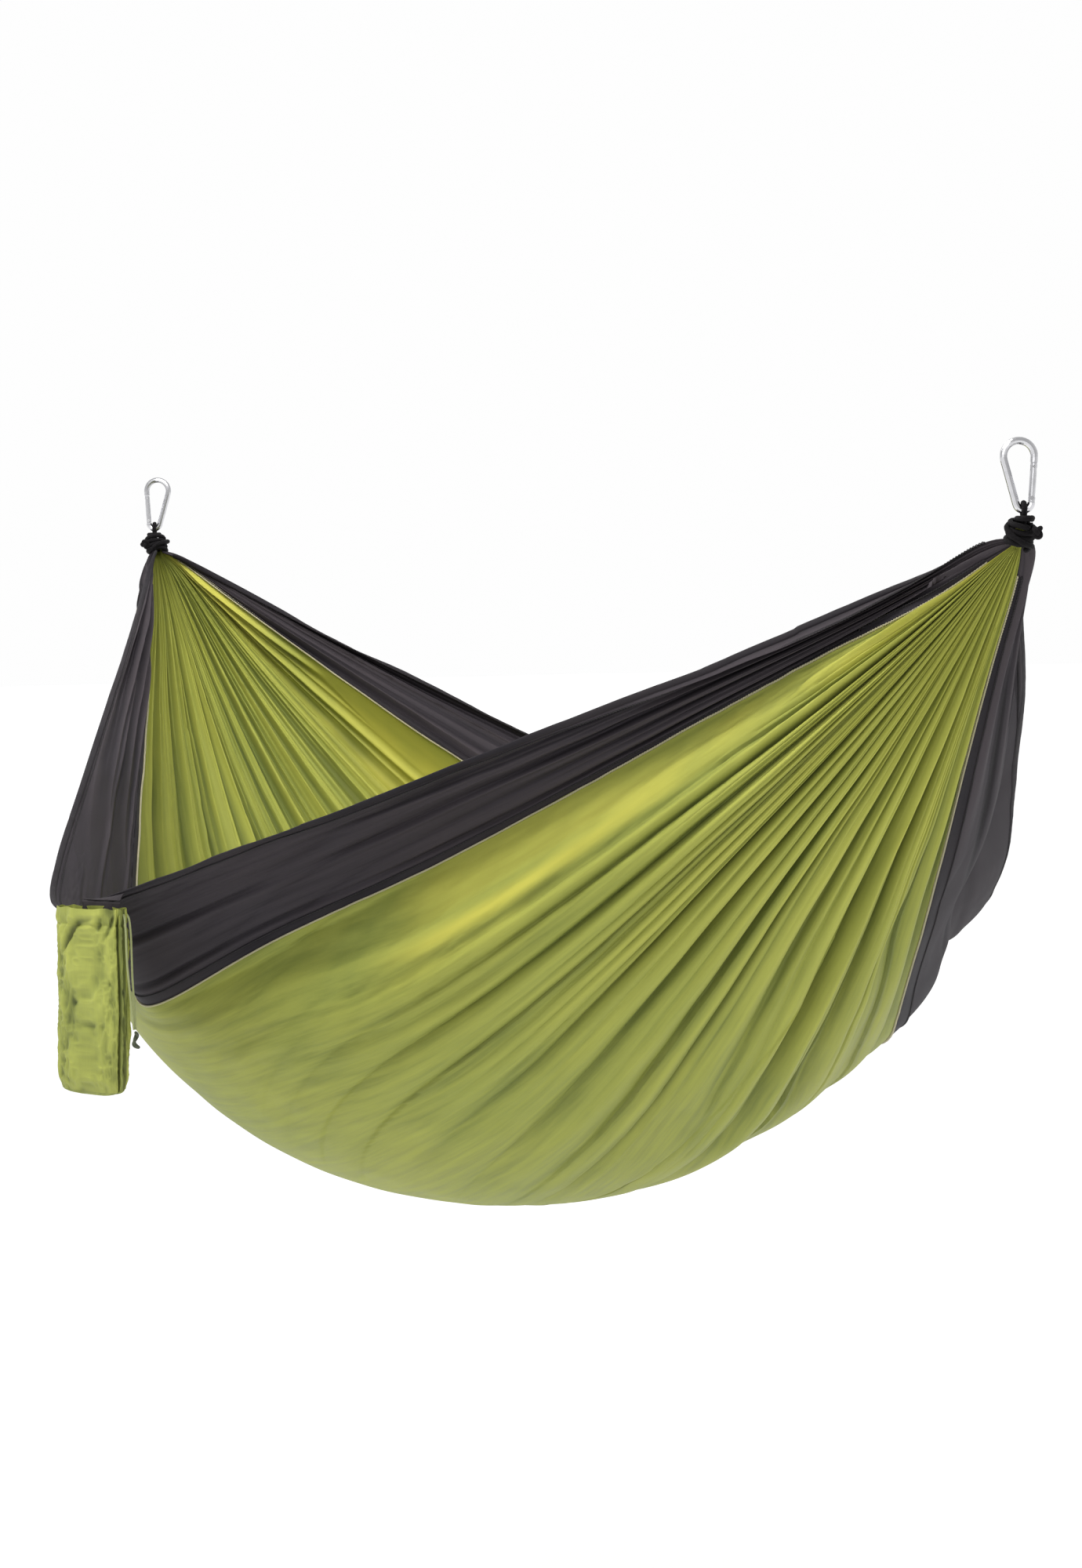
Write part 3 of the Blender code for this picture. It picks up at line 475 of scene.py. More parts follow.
def new_material(name):
    made = bpy.data.materials.new(name)
    made.use_nodes = True
    tree = made.node_tree
    return made, tree, tree.nodes["Principled BSDF"]


def node(tree, kind, **settings):
    made = tree.nodes.new(kind)
    for key, value in settings.items():
        if key.startswith("in_"):
            made.inputs[key[3:].replace("_", " ")].default_value = value
        else:
            setattr(made, key, value)
    return made


def uv_scaled(tree, across, along):
    """The cloth's UVs, in metres, times a count per metre each way."""
    source = node(tree, "ShaderNodeUVMap", uv_map="cloth")
    scaled = node(tree, "ShaderNodeMapping")
    scaled.inputs["Scale"].default_value = (across, along, 1)
    tree.links.new(source.outputs["UV"], scaled.inputs["Vector"])
    return scaled.outputs["Vector"]


def ramp(tree, source, stops):
    """A colour ramp over a 0 to 1 source. A stop is a place and a colour, or one number for a grey."""
    made = node(tree, "ShaderNodeValToRGB")
    points = made.color_ramp.elements
    while len(points) < len(stops):
        points.new(0.5)
    for point, (place, colour) in zip(points, stops):
        colour = colour if isinstance(colour, tuple) else (colour,) * 3
        point.position = place
        point.color = (*colour, 1)
    tree.links.new(source, made.inputs["Fac"])
    return made.outputs["Color"]


def towards(tree, share, colour, fixed):
    """A colour socket mixed towards a fixed colour."""
    made = node(tree, "ShaderNodeMix", data_type="RGBA")
    factor, first, second = (made.inputs[k] for k in (0, 6, 7))
    tree.links.new(share, factor)
    tree.links.new(colour, first)
    second.default_value = (*fixed, 1)
    return made.outputs[2]


def bump(tree, height, strength, distance, shader):
    made = node(tree, "ShaderNodeBump", in_Strength=strength, in_Distance=distance)
    tree.links.new(height, made.inputs["Height"])
    tree.links.new(made.outputs["Normal"], shader.inputs["Normal"])


def math_node(tree, operation, a, b):
    made = node(tree, "ShaderNodeMath", operation=operation)
    for socket, value in ((0, a), (1, b)):
        if isinstance(value, (int, float)):
            made.inputs[socket].default_value = value
        else:
            tree.links.new(value, made.inputs[socket])
    return made.outputs[0]


def weave(tree, vector):
    """The height of a plain weave, with slightly irregular threads."""
    threads = []
    for direction in "XY":
        made = node(tree, "ShaderNodeTexWave", wave_type="BANDS", bands_direction=direction, wave_profile="SIN",
                    in_Scale=620.0, in_Distortion=0.6, in_Detail=1.0, in_Detail_Scale=0.3)
        tree.links.new(vector, made.inputs["Vector"])
        threads.append(made.outputs["Fac"])
    return math_node(tree, "MULTIPLY", *threads)


def crinkle(tree, across, along, amount):
    """Stretched noise: soft crush marks in thin cloth."""
    noise = node(tree, "ShaderNodeTexNoise", in_Scale=1.0, in_Detail=5.0, in_Roughness=0.6, in_Distortion=0.4)
    tree.links.new(uv_scaled(tree, across, along), noise.inputs["Vector"])
    return math_node(tree, "MULTIPLY", noise.outputs["Fac"], amount)


def nylon(name, dark, mid, light, highlight_and_tone, roughness, sheen, fold=True, tint=(1, 1, 1), gloss=0.28):
    """Thin coated nylon: painted shade in the fold valleys, painted yellow highlights on the ridges, faintly streaked
    along its length.
    """
    made, tree, shader = new_material(name)
    streak = node(tree, "ShaderNodeTexNoise", in_Scale=1.0, in_Detail=6.0, in_Roughness=0.62)
    tree.links.new(uv_scaled(tree, 95, 5), streak.inputs["Vector"])
    cloud = node(tree, "ShaderNodeTexNoise", in_Scale=1.0, in_Detail=3.0, in_Roughness=0.5)
    tree.links.new(uv_scaled(tree, 5, 3), cloud.inputs["Vector"])
    if fold:
        attribute = node(tree, "ShaderNodeVertexColor", layer_name="fold")
        split = node(tree, "ShaderNodeSeparateColor")
        tree.links.new(attribute.outputs["Color"], split.inputs["Color"])
        mixed = math_node(tree, "ADD", math_node(tree, "MULTIPLY", split.outputs[0], 0.62),
                          math_node(tree, "MULTIPLY", streak.outputs["Fac"], 0.38))
    else:
        mixed = math_node(tree, "ADD", math_node(tree, "MULTIPLY", streak.outputs["Fac"], 0.4),
                          math_node(tree, "MULTIPLY", cloud.outputs["Fac"], 0.6))
    # On folded pieces the deep and dark stops are painted shade and the light stop is painted highlight; without folds
    # the ramp is plain random tone
    deep = tuple(c * 0.55 for c in dark)
    base = ramp(tree, mixed, [(0.20, deep), (0.34, dark), (0.50, mid), (0.76, light)])
    # Painted yellow highlight on pieces with fold colours, plain random tone on pieces without
    highlight_and_tone_share = math_node(tree, "MULTIPLY", ramp(tree, cloud.outputs["Fac"], [(0.36, 0), (0.62, 1)]),
                       math_node(tree, "MULTIPLY", split.outputs[1], 0.8) if fold else 0.3)
    tree.links.new(towards(tree, highlight_and_tone_share, base, highlight_and_tone), shader.inputs["Base Color"])
    rough = ramp(tree, streak.outputs["Fac"], [(0.3, roughness - 0.06), (0.7, roughness + 0.08)])
    tree.links.new(rough, shader.inputs["Roughness"])
    for socket, fixed in (("Sheen Weight", sheen), ("Sheen Roughness", 0.4), ("Sheen Tint", (*tint, 1)),
                          ("Specular IOR Level", gloss)):
        shader.inputs[socket].default_value = fixed
    marks = crinkle(tree, 130, 34, 2.6)
    if fold:
        small = math_node(tree, "MULTIPLY", crinkle(tree, 150, 95, 9.0), split.outputs[2])
        marks = math_node(tree, "ADD", marks, small)
    bump(tree, math_node(tree, "ADD", weave(tree, uv_scaled(tree, 1, 1)), marks), 0.22, 0.0004, shader)
    return made


def cord_material(name, dark, light, picks=420, fuzz_weight=0.3, gloss=0.3):
    """Braided cord: crossing diagonal strands, with painted shade in the grooves between them."""
    made, tree, shader = new_material(name)
    source = node(tree, "ShaderNodeUVMap", uv_map="cloth")
    strands = []
    for sign in (1, -1):
        turned = node(tree, "ShaderNodeMapping")
        turned.inputs["Rotation"].default_value = (0, 0, sign * math.radians(38))
        tree.links.new(source.outputs["UV"], turned.inputs["Vector"])
        strand = node(tree, "ShaderNodeTexWave", wave_type="BANDS", bands_direction="Y", in_Scale=picks,
                      in_Distortion=0.8)
        tree.links.new(turned.outputs["Vector"], strand.inputs["Vector"])
        strands.append(strand.outputs["Fac"])
    height = math_node(tree, "MAXIMUM", *strands)
    fuzz = node(tree, "ShaderNodeTexNoise", in_Scale=2600.0, in_Detail=3.0)
    tree.links.new(source.outputs["UV"], fuzz.inputs["Vector"])
    # Painted shade: the colour darkens where the strands dip, broken up by random fuzz tone
    mixed = math_node(tree, "MULTIPLY", height, fuzz.outputs["Fac"])
    tree.links.new(ramp(tree, mixed, [(0.15, dark), (0.6, light)]), shader.inputs["Base Color"])
    tree.links.new(ramp(tree, height, [(0.0, 0.85), (1.0, 0.65)]), shader.inputs["Roughness"])
    for socket, fixed in (("Sheen Weight", fuzz_weight), ("Sheen Roughness", 0.5), ("Specular IOR Level", gloss)):
        shader.inputs[socket].default_value = fixed
    bump(tree, height, 0.7, 0.0006, shader)
    return made


def zinc(name, colour, roughness):
    """Bright zinc plate with fine draw marks, small stains and worn, smoother spots."""
    made, tree, shader = new_material(name)
    where = node(tree, "ShaderNodeTexCoord")
    marks = node(tree, "ShaderNodeTexNoise", in_Scale=900.0, in_Detail=4.0, in_Roughness=0.6)
    tree.links.new(where.outputs["Object"], marks.inputs["Vector"])
    cloud = node(tree, "ShaderNodeTexNoise", in_Scale=120.0, in_Detail=4.0)
    tree.links.new(where.outputs["Object"], cloud.inputs["Vector"])
    tint = ramp(tree, cloud.outputs["Fac"], [(0.35, tuple(c * 0.86 for c in colour)), (0.6, colour)])
    tree.links.new(tint, shader.inputs["Base Color"])
    shader.inputs["Metallic"].default_value = 1.0
    rough = ramp(tree, cloud.outputs["Fac"], [(0.3, roughness + 0.14), (0.65, roughness)])
    tree.links.new(rough, shader.inputs["Roughness"])
    bump(tree, marks.outputs["Fac"], 0.05, 0.0001, shader)
    return made


def dress(obj, material, body, slot, *nodes):
    """Gives a piece its material and body, and hides the CAD nodes that it stands in for; its colour slot is not used.
    """
    obj.data.materials.clear()
    obj.data.materials.append(material)
    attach(obj, body)
    if nodes:
        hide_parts(*nodes)
    return obj


# The bed's nylons: the dark and light colours are painted fold shade and highlight, and the fourth colour is the
# painted highlight's tint
GREEN = nylon("bed_green", (0.110, 0.136, 0.030), (0.235, 0.262, 0.056), (0.37, 0.39, 0.080), (0.60, 0.55, 0.090),
              0.50, 0.10, tint=(0.75, 0.85, 0.30), gloss=0.10)
CHARCOAL = nylon("bed_charcoal", (0.014, 0.012, 0.015), (0.034, 0.030, 0.035), (0.058, 0.050, 0.056),
                 (0.056, 0.042, 0.040), 0.66, 0.02, tint=(0.5, 0.48, 0.55), gloss=0.08)
# A darker copy of the band's charcoal for the hems and felled seams: painted shade
SHADED_STRIP_CHARCOAL = nylon("strip_charcoal", (0.012, 0.010, 0.013), (0.023, 0.021, 0.025), (0.034, 0.031, 0.036),
                       (0.034, 0.027, 0.026), 0.6, 0.03, fold=False, tint=(0.5, 0.48, 0.55), gloss=0.08)
# A lighter copy of the band's charcoal for the sack's tab and its fold: painted light
LIT_TAB_CHARCOAL = nylon("tab_charcoal", (0.024, 0.021, 0.024), (0.042, 0.037, 0.041), (0.055, 0.048, 0.053),
                     (0.055, 0.048, 0.053), 0.66, 0.02, fold=False, gloss=0.08)
# The sack's nylon: the dark and light colours are painted shade and highlight on its dents and folds
SACK = nylon("sack_green", (0.075, 0.095, 0.024), (0.25, 0.28, 0.062), (0.43, 0.46, 0.098), (0.46, 0.46, 0.09),
             0.5, 0.10, tint=(0.75, 0.85, 0.30))
THREAD = cord_material("thread", (0.40, 0.37, 0.20), (0.72, 0.66, 0.42), picks=900)
DARK_THREAD = cord_material("dark_thread", (0.012, 0.010, 0.012), (0.036, 0.032, 0.036), picks=900, fuzz_weight=0.04)
ROPE_BLACK = cord_material("rope_black", (0.002, 0.0018, 0.002), (0.012, 0.010, 0.012), fuzz_weight=0.02, gloss=0.12)
STRING = cord_material("string_green", (0.26, 0.30, 0.10), (0.52, 0.56, 0.24), picks=800)
# A darker copy of the drawstring for its knot: painted shade
STRING_SHADED = cord_material("string_knot", (0.020, 0.030, 0.010), (0.075, 0.095, 0.030), picks=800)
ZINC = zinc("bright_zinc", (0.66, 0.66, 0.68), 0.16)
ZINC_PIN = zinc("dull_zinc", (0.50, 0.50, 0.51), 0.30)


# Camera


def camera():
    data = bpy.data.cameras.new("photo_camera")
    data.lens = 94.66
    data.sensor_width = 36
    data.clip_end = 100
    obj = link(bpy.data.objects.new("photo_camera", data))
    forward = Vector((-0.86386, 0.50078, -0.05447))
    up = Vector((-0.04446, 0.03192, 0.9985))
    right = forward.cross(up).normalized()
    up = right.cross(forward)
    obj.matrix_world = Matrix.Translation((5.60011, -2.59035, -0.1162)) @ Matrix(
        (right, up, -forward.normalized())).transposed().to_4x4()
    bpy.context.scene.camera = obj


def light(name, place, target, size, power, colour=(1, 1, 1)):
    data = bpy.data.lights.new(name, "AREA")
    data.size = size
    data.energy = power
    data.color = colour
    obj = link(bpy.data.objects.new(name, data))
    obj.location = place
    obj.rotation_euler = (Vector(target) - Vector(place)).to_track_quat("-Z", "Y").to_euler()
    obj.visible_camera = False


# Where the world is brightest: behind the bed, as the camera sees it
BRIGHT_SIDE = (-0.80, 0.50, -0.33)


def studio():
    """Soft light from a world that is brighter behind the bed, four area lights, and a pale floor."""
    world = bpy.data.worlds.new("studio")
    bpy.context.scene.world = world
    world.use_nodes = True
    tree = world.node_tree
    back = tree.nodes["Background"]
    where = node(tree, "ShaderNodeTexCoord")
    facing = node(tree, "ShaderNodeVectorMath", operation="DOT_PRODUCT")
    tree.links.new(where.outputs["Generated"], facing.inputs[0])
    facing.inputs[1].default_value = BRIGHT_SIDE
    share = node(tree, "ShaderNodeMapRange", interpolation_type="SMOOTHSTEP")
    for socket, value in (("From Min", -0.35), ("From Max", 0.55), ("To Min", 0.58), ("To Max", 0.99)):
        share.inputs[socket].default_value = value
    tree.links.new(facing.outputs["Value"], share.inputs["Value"])
    back.inputs["Color"].default_value = (1, 1, 1, 1)
    tree.links.new(share.outputs["Result"], back.inputs["Strength"])
    light("key", (1.1, -1.9, 3.0), (1.07, 0, -0.5), 1.2, 76, (1, 0.985, 0.95))
    light("inside", (1.7, -0.9, 1.0), (0.35, 0.15, -0.4), 0.7, 12)
    light("fill", (4.4, -3.6, 1.2), (0.5, 0.2, -0.5), 2.2, 26)
    light("lift", (0.70, -0.12, 0.40), (0.10, 0.02, -0.10), 0.3, 2.1)
    half, height = 40, -1.60
    floor = bpy.data.meshes.new("floor")
    floor.from_pydata([(x, y, height) for x, y in ((-half, -half), (half, -half), (half, half), (-half, half))], [],
                      [(0, 1, 2, 3)])
    made, tree, shader = new_material("pale_floor")
    grain = node(tree, "ShaderNodeTexNoise", in_Scale=3.0)
    tree.links.new(ramp(tree, grain.outputs["Fac"], [(0.3, 0.66), (0.7, 0.68)]), shader.inputs["Base Color"])
    shader.inputs["Roughness"].default_value = 0.9
    shader.inputs["Emission Color"].default_value = (1, 1, 1, 1)
    shader.inputs["Emission Strength"].default_value = 0.56
    obj = link(bpy.data.objects.new("floor", floor))
    obj.data.materials.append(made)


camera()
studio()
# A white ground and plain colours, as in a product photograph
bpy.context.scene.view_settings.view_transform = "Standard"


# The stuff sack's frame: X along its width, -Y out from the bed, Z up, hinge at its origin

SACK_TURN = math.radians(24)
SACK_HINGE = np.array([1.1763, -0.62135, -0.51161])
SACK_WIDTH, SACK_THICK, SACK_HEIGHT = 0.098, 0.028, 0.220
SACK_GIRTH, CHANNEL_WALL = 0.238, 0.0032
TAB_WIDTH, TAB_LENGTH, TAB_THICK = 0.060, 0.030, 0.0015
SACK_DROP, SACK_MID = 0.008, -(SACK_THICK / 2 + TAB_THICK + 3 * GAP)
CORD, STRING_SIDE = 0.0025, 0.0028
TAIL_KNOT_AT = (0.0150, 0.1515)
# A drawstring tail: (out from the sack's edge, share of the tails' spread, down)
STRING_ROUTE = (
    (0.0000, 1.00, 0.006),
    (0.0030, 1.30, 0.012),
    (0.0050, 1.50, 0.030),
    (0.0060, 1.50, 0.055),
    (0.0075, 1.20, 0.080),
    (0.0100, 1.00, 0.105),
    (0.0125, 0.70, 0.1307),
    (0.0135, 0.62, 0.1397),
)


def sack_place(points):
    """Points in the sack's frame, moved to where the sack hangs."""
    c, s = math.cos(SACK_TURN), math.sin(SACK_TURN)
    x, y, z = (np.asarray(points, float)[..., k] for k in range(3))
    return np.stack([x * c - y * s, x * s + y * c, z], -1) + SACK_HINGE


def drawstring_tails():
    start_x = SACK_WIDTH / 2 + CORD / 2 + GAP
    knot_out, knot_down = TAIL_KNOT_AT
    knot_route = []
    for a in (2 * math.pi * k / 90 for k in range(90)):
        knot_route.append((start_x + knot_out + 0.0022 * math.sin(2 * a), SACK_MID + 0.0022 * math.cos(3 * a),
                           -SACK_DROP - knot_down + 0.0088 * math.sin(a + 0.4)))
    knot = rope_piece("string_knot", sack_place(knot_route), 0.0036, sides=12, closed=True)
    dress(knot, STRING_SHADED, "stuff_sack", "string_knot", "drawstring_knot")
    for letter, side in (("a", -STRING_SIDE), ("b", STRING_SIDE)):
        route = [(start_x + out, SACK_MID + side * share, -SACK_DROP - down) for out, share, down in STRING_ROUTE]
        line = sack_place(catmull(route, 0.002))
        tail = rope_piece(f"string_tail_{letter}", line, CORD, sides=12, swell=0.05)
        dress(tail, STRING, "stuff_sack", "sack_string", f"drawstring_tail_{letter}")


drawstring_tails()


# The bed's cloth

ROWS = 300
DENSE = 2

center = panel("center_cloth", -SEAM, SEAM, 330 * DENSE + 1, ROWS)
dress(center, GREEN, "bed", "bed_green", "center_panel")

for side, side_name in ((-1, "near"), (1, "far")):
    band = panel(f"{side_name}_cloth", side * SEAM, side * 1.0, 70 * DENSE + 1, ROWS)
    dress(band, CHARCOAL, "bed", "bed_charcoal", f"{side_name}_side_panel")
    hem = hem_roll(f"{side_name}_hem_roll", side, 0.0040, 0.0021)
    dress(hem, SHADED_STRIP_CHARCOAL, "bed", "bed_charcoal", f"{side_name}_hem")
    fell = layer(f"{side_name}_felled_seam", side * (SEAM + 0.0015), side * (SEAM + 0.024), 0.0011)
    dress(fell, SHADED_STRIP_CHARCOAL, "bed", "bed_charcoal", f"{side_name}_seam")
    # Light thread on both faces of the seam's edge, and dark thread on the fell and the hem
    runs = ((SEAM - 0.0008, 0.0012, THREAD), (SEAM - 0.0008, -0.0012, THREAD), (SEAM + 0.021, 0.0014, DARK_THREAD),
            (0.982, 0.0008, DARK_THREAD), (0.982, -0.0008, DARK_THREAD))
    for k, (v, lift, look) in enumerate(runs):
        is_light = look is THREAD
        line = thread_run(f"{side_name}_stitching_{k + 1}", side * v, lift, 0.0022 if is_light else 0.0014)
        dress(line, look, "bed", "seam_thread" if is_light else "bed_charcoal")


# Rope at the gathers


def neck_axis(end):
    return np.array([end * math.sin(NECK_TILT), 0, math.cos(NECK_TILT)])


def tied_rope(name, route, *nodes):
    """A length of the gather's rope, with its ends tucked in."""
    rope = rope_piece(name, route, ROPE, sides=20, swell=0.03, taper=0.003)
    return dress(rope, ROPE_BLACK, "bed", "rope", *nodes)


def around(centre, angle, wide, deep):
    """Places round a centre line, at an angle from wide towards deep, whose lengths are the radii."""
    return centre + wide * np.cos(angle)[:, None] + deep * np.sin(angle)[:, None]


def whipping(end, name):
    axis = neck_axis(end)
    outward = np.array([end * math.cos(NECK_TILT), 0, -math.sin(NECK_TILT)])
    across = np.array([0, 1, 0])
    start = HOME + np.array([end * HALF_SPAN, 0, 0]) + axis * (NECK_LENGTH - WHIP_TURNS * WHIP_PITCH) / 2
    radius = NECK_RADIUS + CLOTH / 2 + GAP + ROPE / 2
    turn = np.linspace(0, WHIP_TURNS, WHIP_TURNS * 48 + 1)
    angle = 2 * math.pi * turn
    wobble = 0.0007 * wave(turn, 70 + end, 3, 0.9)
    slack = 0.0006 * wave(turn, 80 + end, 3, 1.3)
    spoke = around(0, angle, outward, across)
    route = start + axis * (turn * WHIP_PITCH + slack)[:, None] + spoke * (radius + wobble)[:, None]
    tied_rope(f"whipping_{name}", route, f"rope_whipping_{name}")
    # The last turn goes round the loop's strands, and a riding turn crosses slantwise over the others
    turn = np.linspace(0, 1.12, 90)
    middle = start + axis * (0.0296 + 0.0010 * turn)[:, None]
    collar = around(middle, 2 * math.pi * turn + 1.0, HOOK_NORMAL * 0.0112, HOOK_WIDE * 0.0078)
    tied_rope(f"collar_turn_{name}", collar)
    turn = np.linspace(0, 1, 90)
    spoke = around(0, (-2.35 if end > 0 else 0.95) + turn * 3.3, outward, across)
    dip = 0.0046 * (bell(turn, 0.13) + bell(turn - 1, 0.13))
    route = start + axis * (0.0215 - 0.019 * turn)[:, None] + spoke * (radius + ROPE * 0.78 - dip)[:, None]
    tied_rope(f"riding_turn_{name}", route)


def loop_rope(end, name):
    axis = Vector(neck_axis(end))
    top = Vector(HOME) + Vector((end * HALF_SPAN, 0, 0)) + axis * NECK_LENGTH
    seat = top + Vector((0, 0, HOOK_RISE))
    normal, up = Vector(HOOK_NORMAL), Vector((0, 0, 1))
    over = (WIRE + ROPE) / 2 + GAP
    inside = (normal - axis * normal.dot(axis)).normalized() * (ROPE / 2 + GAP)
    strands = []
    for side in (1, -1):
        strands.append([seat + side * normal * 0.0062 - up * 0.0045, top + side * inside,
                        top - axis * 0.008 + side * inside, top - axis * 0.022 + side * inside])
    bight = [seat + over * (normal * math.cos(a) + up * math.sin(a)) for a in np.linspace(0, math.pi, 9)]
    piece = rope_piece(f"loop_{name}", catmull([*reversed(strands[0]), *bight, *strands[1]], 0.0008), ROPE, sides=20,
                       swell=0.03)
    dress(piece, ROPE_BLACK, "bed", "rope", f"rope_loop_{name}")


def knot_rope(end, name):
    """An overhand knot drawn down tight on the whipping's outer side."""
    aside = (end * HOOK_WIDE * 0.65 + HOOK_NORMAL * 0.76) * 0.0238
    axis = neck_axis(end)
    centre = HOME + np.array([end * HALF_SPAN, 0, 0]) + axis * 0.016 + aside
    radial = aside / np.linalg.norm(aside)
    tall = axis - radial * axis.dot(radial)
    tall = tall / np.linalg.norm(tall)
    side = np.cross(tall, radial)
    t = np.linspace(0, 2 * math.pi, 140, endpoint=False)
    x = (np.sin(t) + 2 * np.sin(2 * t)) * 0.00115
    y = (np.cos(t) - 2 * np.cos(2 * t)) * 0.00145
    z = -np.sin(3 * t) * 0.0022
    route = centre + radial * z[:, None] + side * x[:, None] * 1.25 + tall * y[:, None] * 1.25
    piece = rope_piece(f"knot_{name}", route, 0.0052, sides=18, swell=0.03, closed=True)
    dress(piece, ROPE_BLACK, "bed", "rope", f"stopper_knot_{name}")


for end, name in ((-1, "left"), (1, "right")):
    whipping(end, name)
    loop_rope(end, name)
    knot_rope(end, name)


# Hooks: the CAD pieces stay, with their finish


def finish_node(name, material):
    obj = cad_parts[name]
    for slot in obj.material_slots:
        slot.link = "OBJECT"
        slot.material = material
    if not obj.material_slots:
        obj.data.materials.append(material)


for name in ("left", "right"):
    for piece in ("carabiner_body", "gate"):
        finish_node(f"{piece}_{name}", ZINC)
    for piece in ("gate_rivet", "latch_pin", "gate_spring", "spring_plunger"):
        finish_node(f"{piece}_{name}", ZINC_PIN)


# The stuff sack

# Dents in the sack's front, as hollows along slanting lines: (round, slope, from, depth, width, starts, ends)
DRAG_LINES = (
    (0.734, 0.44, 0.09, 0.0042, 0.013, (0.03, 0.05), (0.20, 0.06)),
    (0.865, 0.50, 0.06, 0.0034, 0.014, (0.02, 0.04), (0.13, 0.06)),
    (0.790, 0.20, 0.06, 0.0026, 0.010, (0.03, 0.03), (0.09, 0.05)),
)


def flat_oval(angle, half_width, half_thick):
    """A flat bag's section round the sack's middle."""
    c, s = np.cos(angle), np.sin(angle)
    x = half_width * np.sign(c) * np.abs(c) ** 0.55
    y = half_thick * np.sign(s) * np.abs(s) ** 0.75
    return x, y + SACK_MID


def plain_colours(value):
    return np.stack([value, value * 0, value * 0], -1)


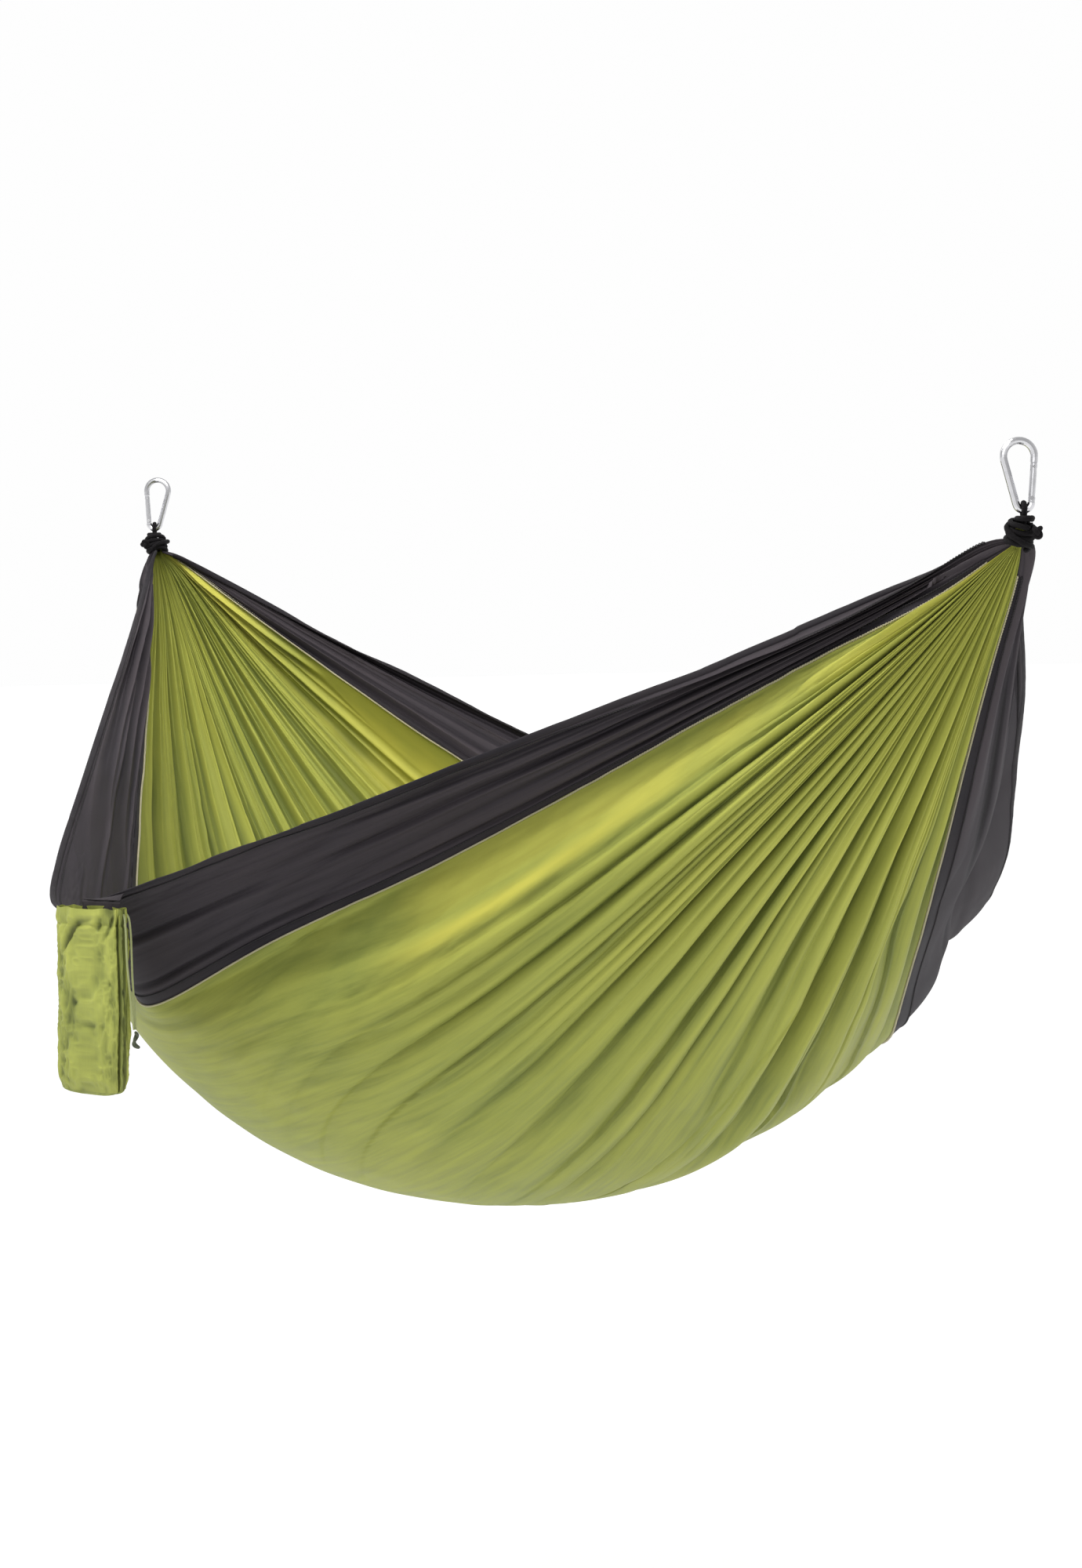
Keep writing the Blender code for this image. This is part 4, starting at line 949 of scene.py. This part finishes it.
def sack():
    columns = 360
    levels = np.linspace(-SACK_DROP, -SACK_DROP - SACK_HEIGHT + 0.007, 300)
    z, a = np.meshgrid(levels, np.linspace(0, 2 * math.pi, columns, endpoint=False), indexing="ij")
    x, y = flat_oval(a, SACK_WIDTH / 2 + 0.0022, SACK_THICK / 2 + 0.0008)
    down = (-SACK_DROP - z) / SACK_HEIGHT
    k = a / (2 * math.pi)
    # Round the mouth the cloth is bunched on its cord, most of all at the cord's side
    bunch = smooth(1 - down / 0.22)
    tight = 0.55 + 0.45 * np.cos(a - 0.25)
    pleat = 0.0042 * bunch * tight * (ridges(k * 23 + 1.2 * down, down * 3.3 + 7, 8) - 0.35)
    channel = 0.0007 * bell(down - 0.035, 0.03) - 0.0019 * bell(down - 0.088, 0.010) * (0.55 + 0.45 * tight)
    drag = 0
    for at, slope, level, depth, width, (first, rise), (last, fade) in DRAG_LINES:
        drag = drag - depth * bell(k - at + slope * (down - level), width) * smooth((down - first) / rise) * (
            1 - smooth((down - last) / fade))
    side_fold = -0.0048 * bell(k - 0.925 + 0.006 * np.sin(down * 9), 0.010) * smooth(down / 0.08)
    side_fold += 0.0016 * bell(k - 0.955, 0.014)
    side_fold -= 0.0022 * bell(k - 0.02 + 0.01 * np.sin(down * 13), 0.009) * smooth((down - 0.2) / 0.1)
    crush = 0.0018 * lattice(k * 14 + 3, down * 6 + 3, 21)
    crush += 0.0009 * (ridges(k * 30 + down * 5, down * 13 - k * 4, 23) - 0.4)
    crush += 0.0005 * (ridges(k * 55 - down * 9, down * 31 + k * 7, 24) - 0.4)
    rng = np.random.default_rng(44)
    for _ in range(26):
        at, deep = rng.uniform(0, 1), rng.uniform(0.35, 0.92)
        crush -= rng.uniform(0.0012, 0.0030) * bell(k - at, 0.014) * bell(down - deep, 0.018)
    crush = crush * smooth(down / 0.08)
    swell = pleat + channel + drag + side_fold + crush
    x, y = x + np.cos(a) * swell, y + np.sin(a) * swell * 1.2
    foot = smooth((down - 0.90) / 0.08)
    x = x * (1 - 0.07 * foot)
    y = SACK_MID + (y - SACK_MID) * (1 - 0.35 * foot)
    z = z + 0.0035 * lattice(k * 5 + 2, k * 0 + 3, 25) * smooth((down - 0.5) / 0.5) + 0.0008 * bunch * np.sin(a * 9)
    points = sack_place(np.stack([x, y, z], -1))
    uv = np.stack([k * SACK_GIRTH, down * SACK_HEIGHT], -1)
    # Painted shade down the sack's side edge away from the bed
    shaded = 0.34 * smooth((k - 0.925) / 0.02) * (1 - smooth((k - 0.99) / 0.05))
    # Painted shade in the dents and folds and painted highlight on their crests: the colour follows the cloth's
    # displacement
    value = np.clip(0.60 - shaded + 110 * (pleat + drag + side_fold) + 110 * crush, 0, 1)
    colours = np.stack([value, np.full_like(value, 0.25), value * 0], -1)
    body = grid_piece("sack_cloth", points, uv, closed=True, colours=colours)
    dress(body, SACK, "stuff_sack", "sack_green", "sack_body", "sack_channel")
    last = points[-1]
    middle = last.mean(0)
    shares = np.linspace(1, 0.02, 14)
    drop = 0.0065 * np.sqrt(1 - shares**2)
    rings = np.stack([middle + (last - middle) * q + np.array([0, 0, -d]) for q, d in zip(shares, drop)])
    round_it = np.linspace(0, SACK_GIRTH, columns)
    uv = np.stack(np.broadcast_arrays(round_it[None], (1 - shares)[:, None] * 0.05), -1)
    value = np.full((len(shares), columns), 0.45)
    base = grid_piece("sack_bottom", rings, uv, closed=True, colours=plain_colours(value))
    dress(base, SACK, "stuff_sack", "sack_green", "sack_base")
    # The side seam's overlap, on the edge away from the bed
    rows, t = np.arange(0, len(levels), 2), np.linspace(0, 1, 7)
    at, reach = int(columns * 0.935), columns * 0.014
    wide = points[np.ix_(rows, [(at + int(c)) % columns for c in np.linspace(-reach, reach, len(t))])]
    centre = np.stack([points[i].mean(0) for i in rows])
    outward = unit((wide[:, 3] - centre) * np.array([1, 1, 0]))
    seam = wide + outward[:, None] * (0.0009 * np.sin(math.pi * t) ** 0.4)[None, :, None]
    uv = np.stack(np.broadcast_arrays(t[None] * 0.0066, (levels[0] - levels[rows])[:, None]), -1)
    strip = grid_piece("sack_side_seam", seam, uv, colours=plain_colours(np.full(seam.shape[:2], 0.42)))
    dress(strip, SACK, "stuff_sack", "sack_green")


def strap_piece(name, points, uv, body, *nodes):
    strap = grid_piece(name, points, uv)
    thick = strap.modifiers.new("thick", "SOLIDIFY")
    thick.thickness = 0.0012
    thick.offset = 0
    return dress(strap, LIT_TAB_CHARCOAL, body, "bed_charcoal", *nodes)


def sack_details():
    z, x = np.meshgrid(np.linspace(0.0, -TAB_LENGTH, 24), np.linspace(-TAB_WIDTH / 2, TAB_WIDTH / 2, 40), indexing="ij")
    ripple = 0.0005 * lattice(x * 160, z * 160, 31)
    front = sack_place(np.stack([x * (1 - 0.04 * np.sin(z * 90) ** 2), -0.0008 + ripple, z * 0.9 - 0.0025], -1))
    tab = strap_piece("tab_cloth", front, np.stack([x, z], -1), "stuff_sack", "sack_tab")
    # The strap's fixed end: sewn to the hem, and folded over at the hinge
    along = np.linspace(-0.0285, 0.0285, 40)
    hem_line = cloth(0.076 + 0.77 * along, np.full_like(along, -1.0))[0]
    fold_line = sack_place(np.stack([along, 0 * along, 0 * along - 0.0008], -1))
    t = np.linspace(0, 1, 14)[:, None, None]
    sag = 0.0016 * np.sin(math.pi * t) + 0.0003 * lattice(along * 300, t[..., 0] * 3, 32)[..., None]
    sheet = hem_line[None] * (1 - t) + fold_line[None] * t + np.array([0, 0, 1.0]) * sag
    uv = np.stack(np.broadcast_arrays(along[None], t[..., 0] * 0.013), -1)
    strap = strap_piece("tab_fold", sheet, uv, "bed")
    # The drawstring inside the channel
    inset = CHANNEL_WALL + CORD / 2 + GAP
    angle = np.linspace(0, 2 * math.pi, 200, endpoint=False)
    x, y = flat_oval(angle, SACK_WIDTH / 2 - inset, SACK_THICK / 2 - inset)
    loop = rope_piece("string_loop", sack_place(np.stack([x, y, x * 0 - SACK_DROP - 0.008], -1)), CORD, sides=10,
                      closed=True)
    dress(loop, STRING, "stuff_sack", "sack_string", "sack_drawstring")


sack()
sack_details()
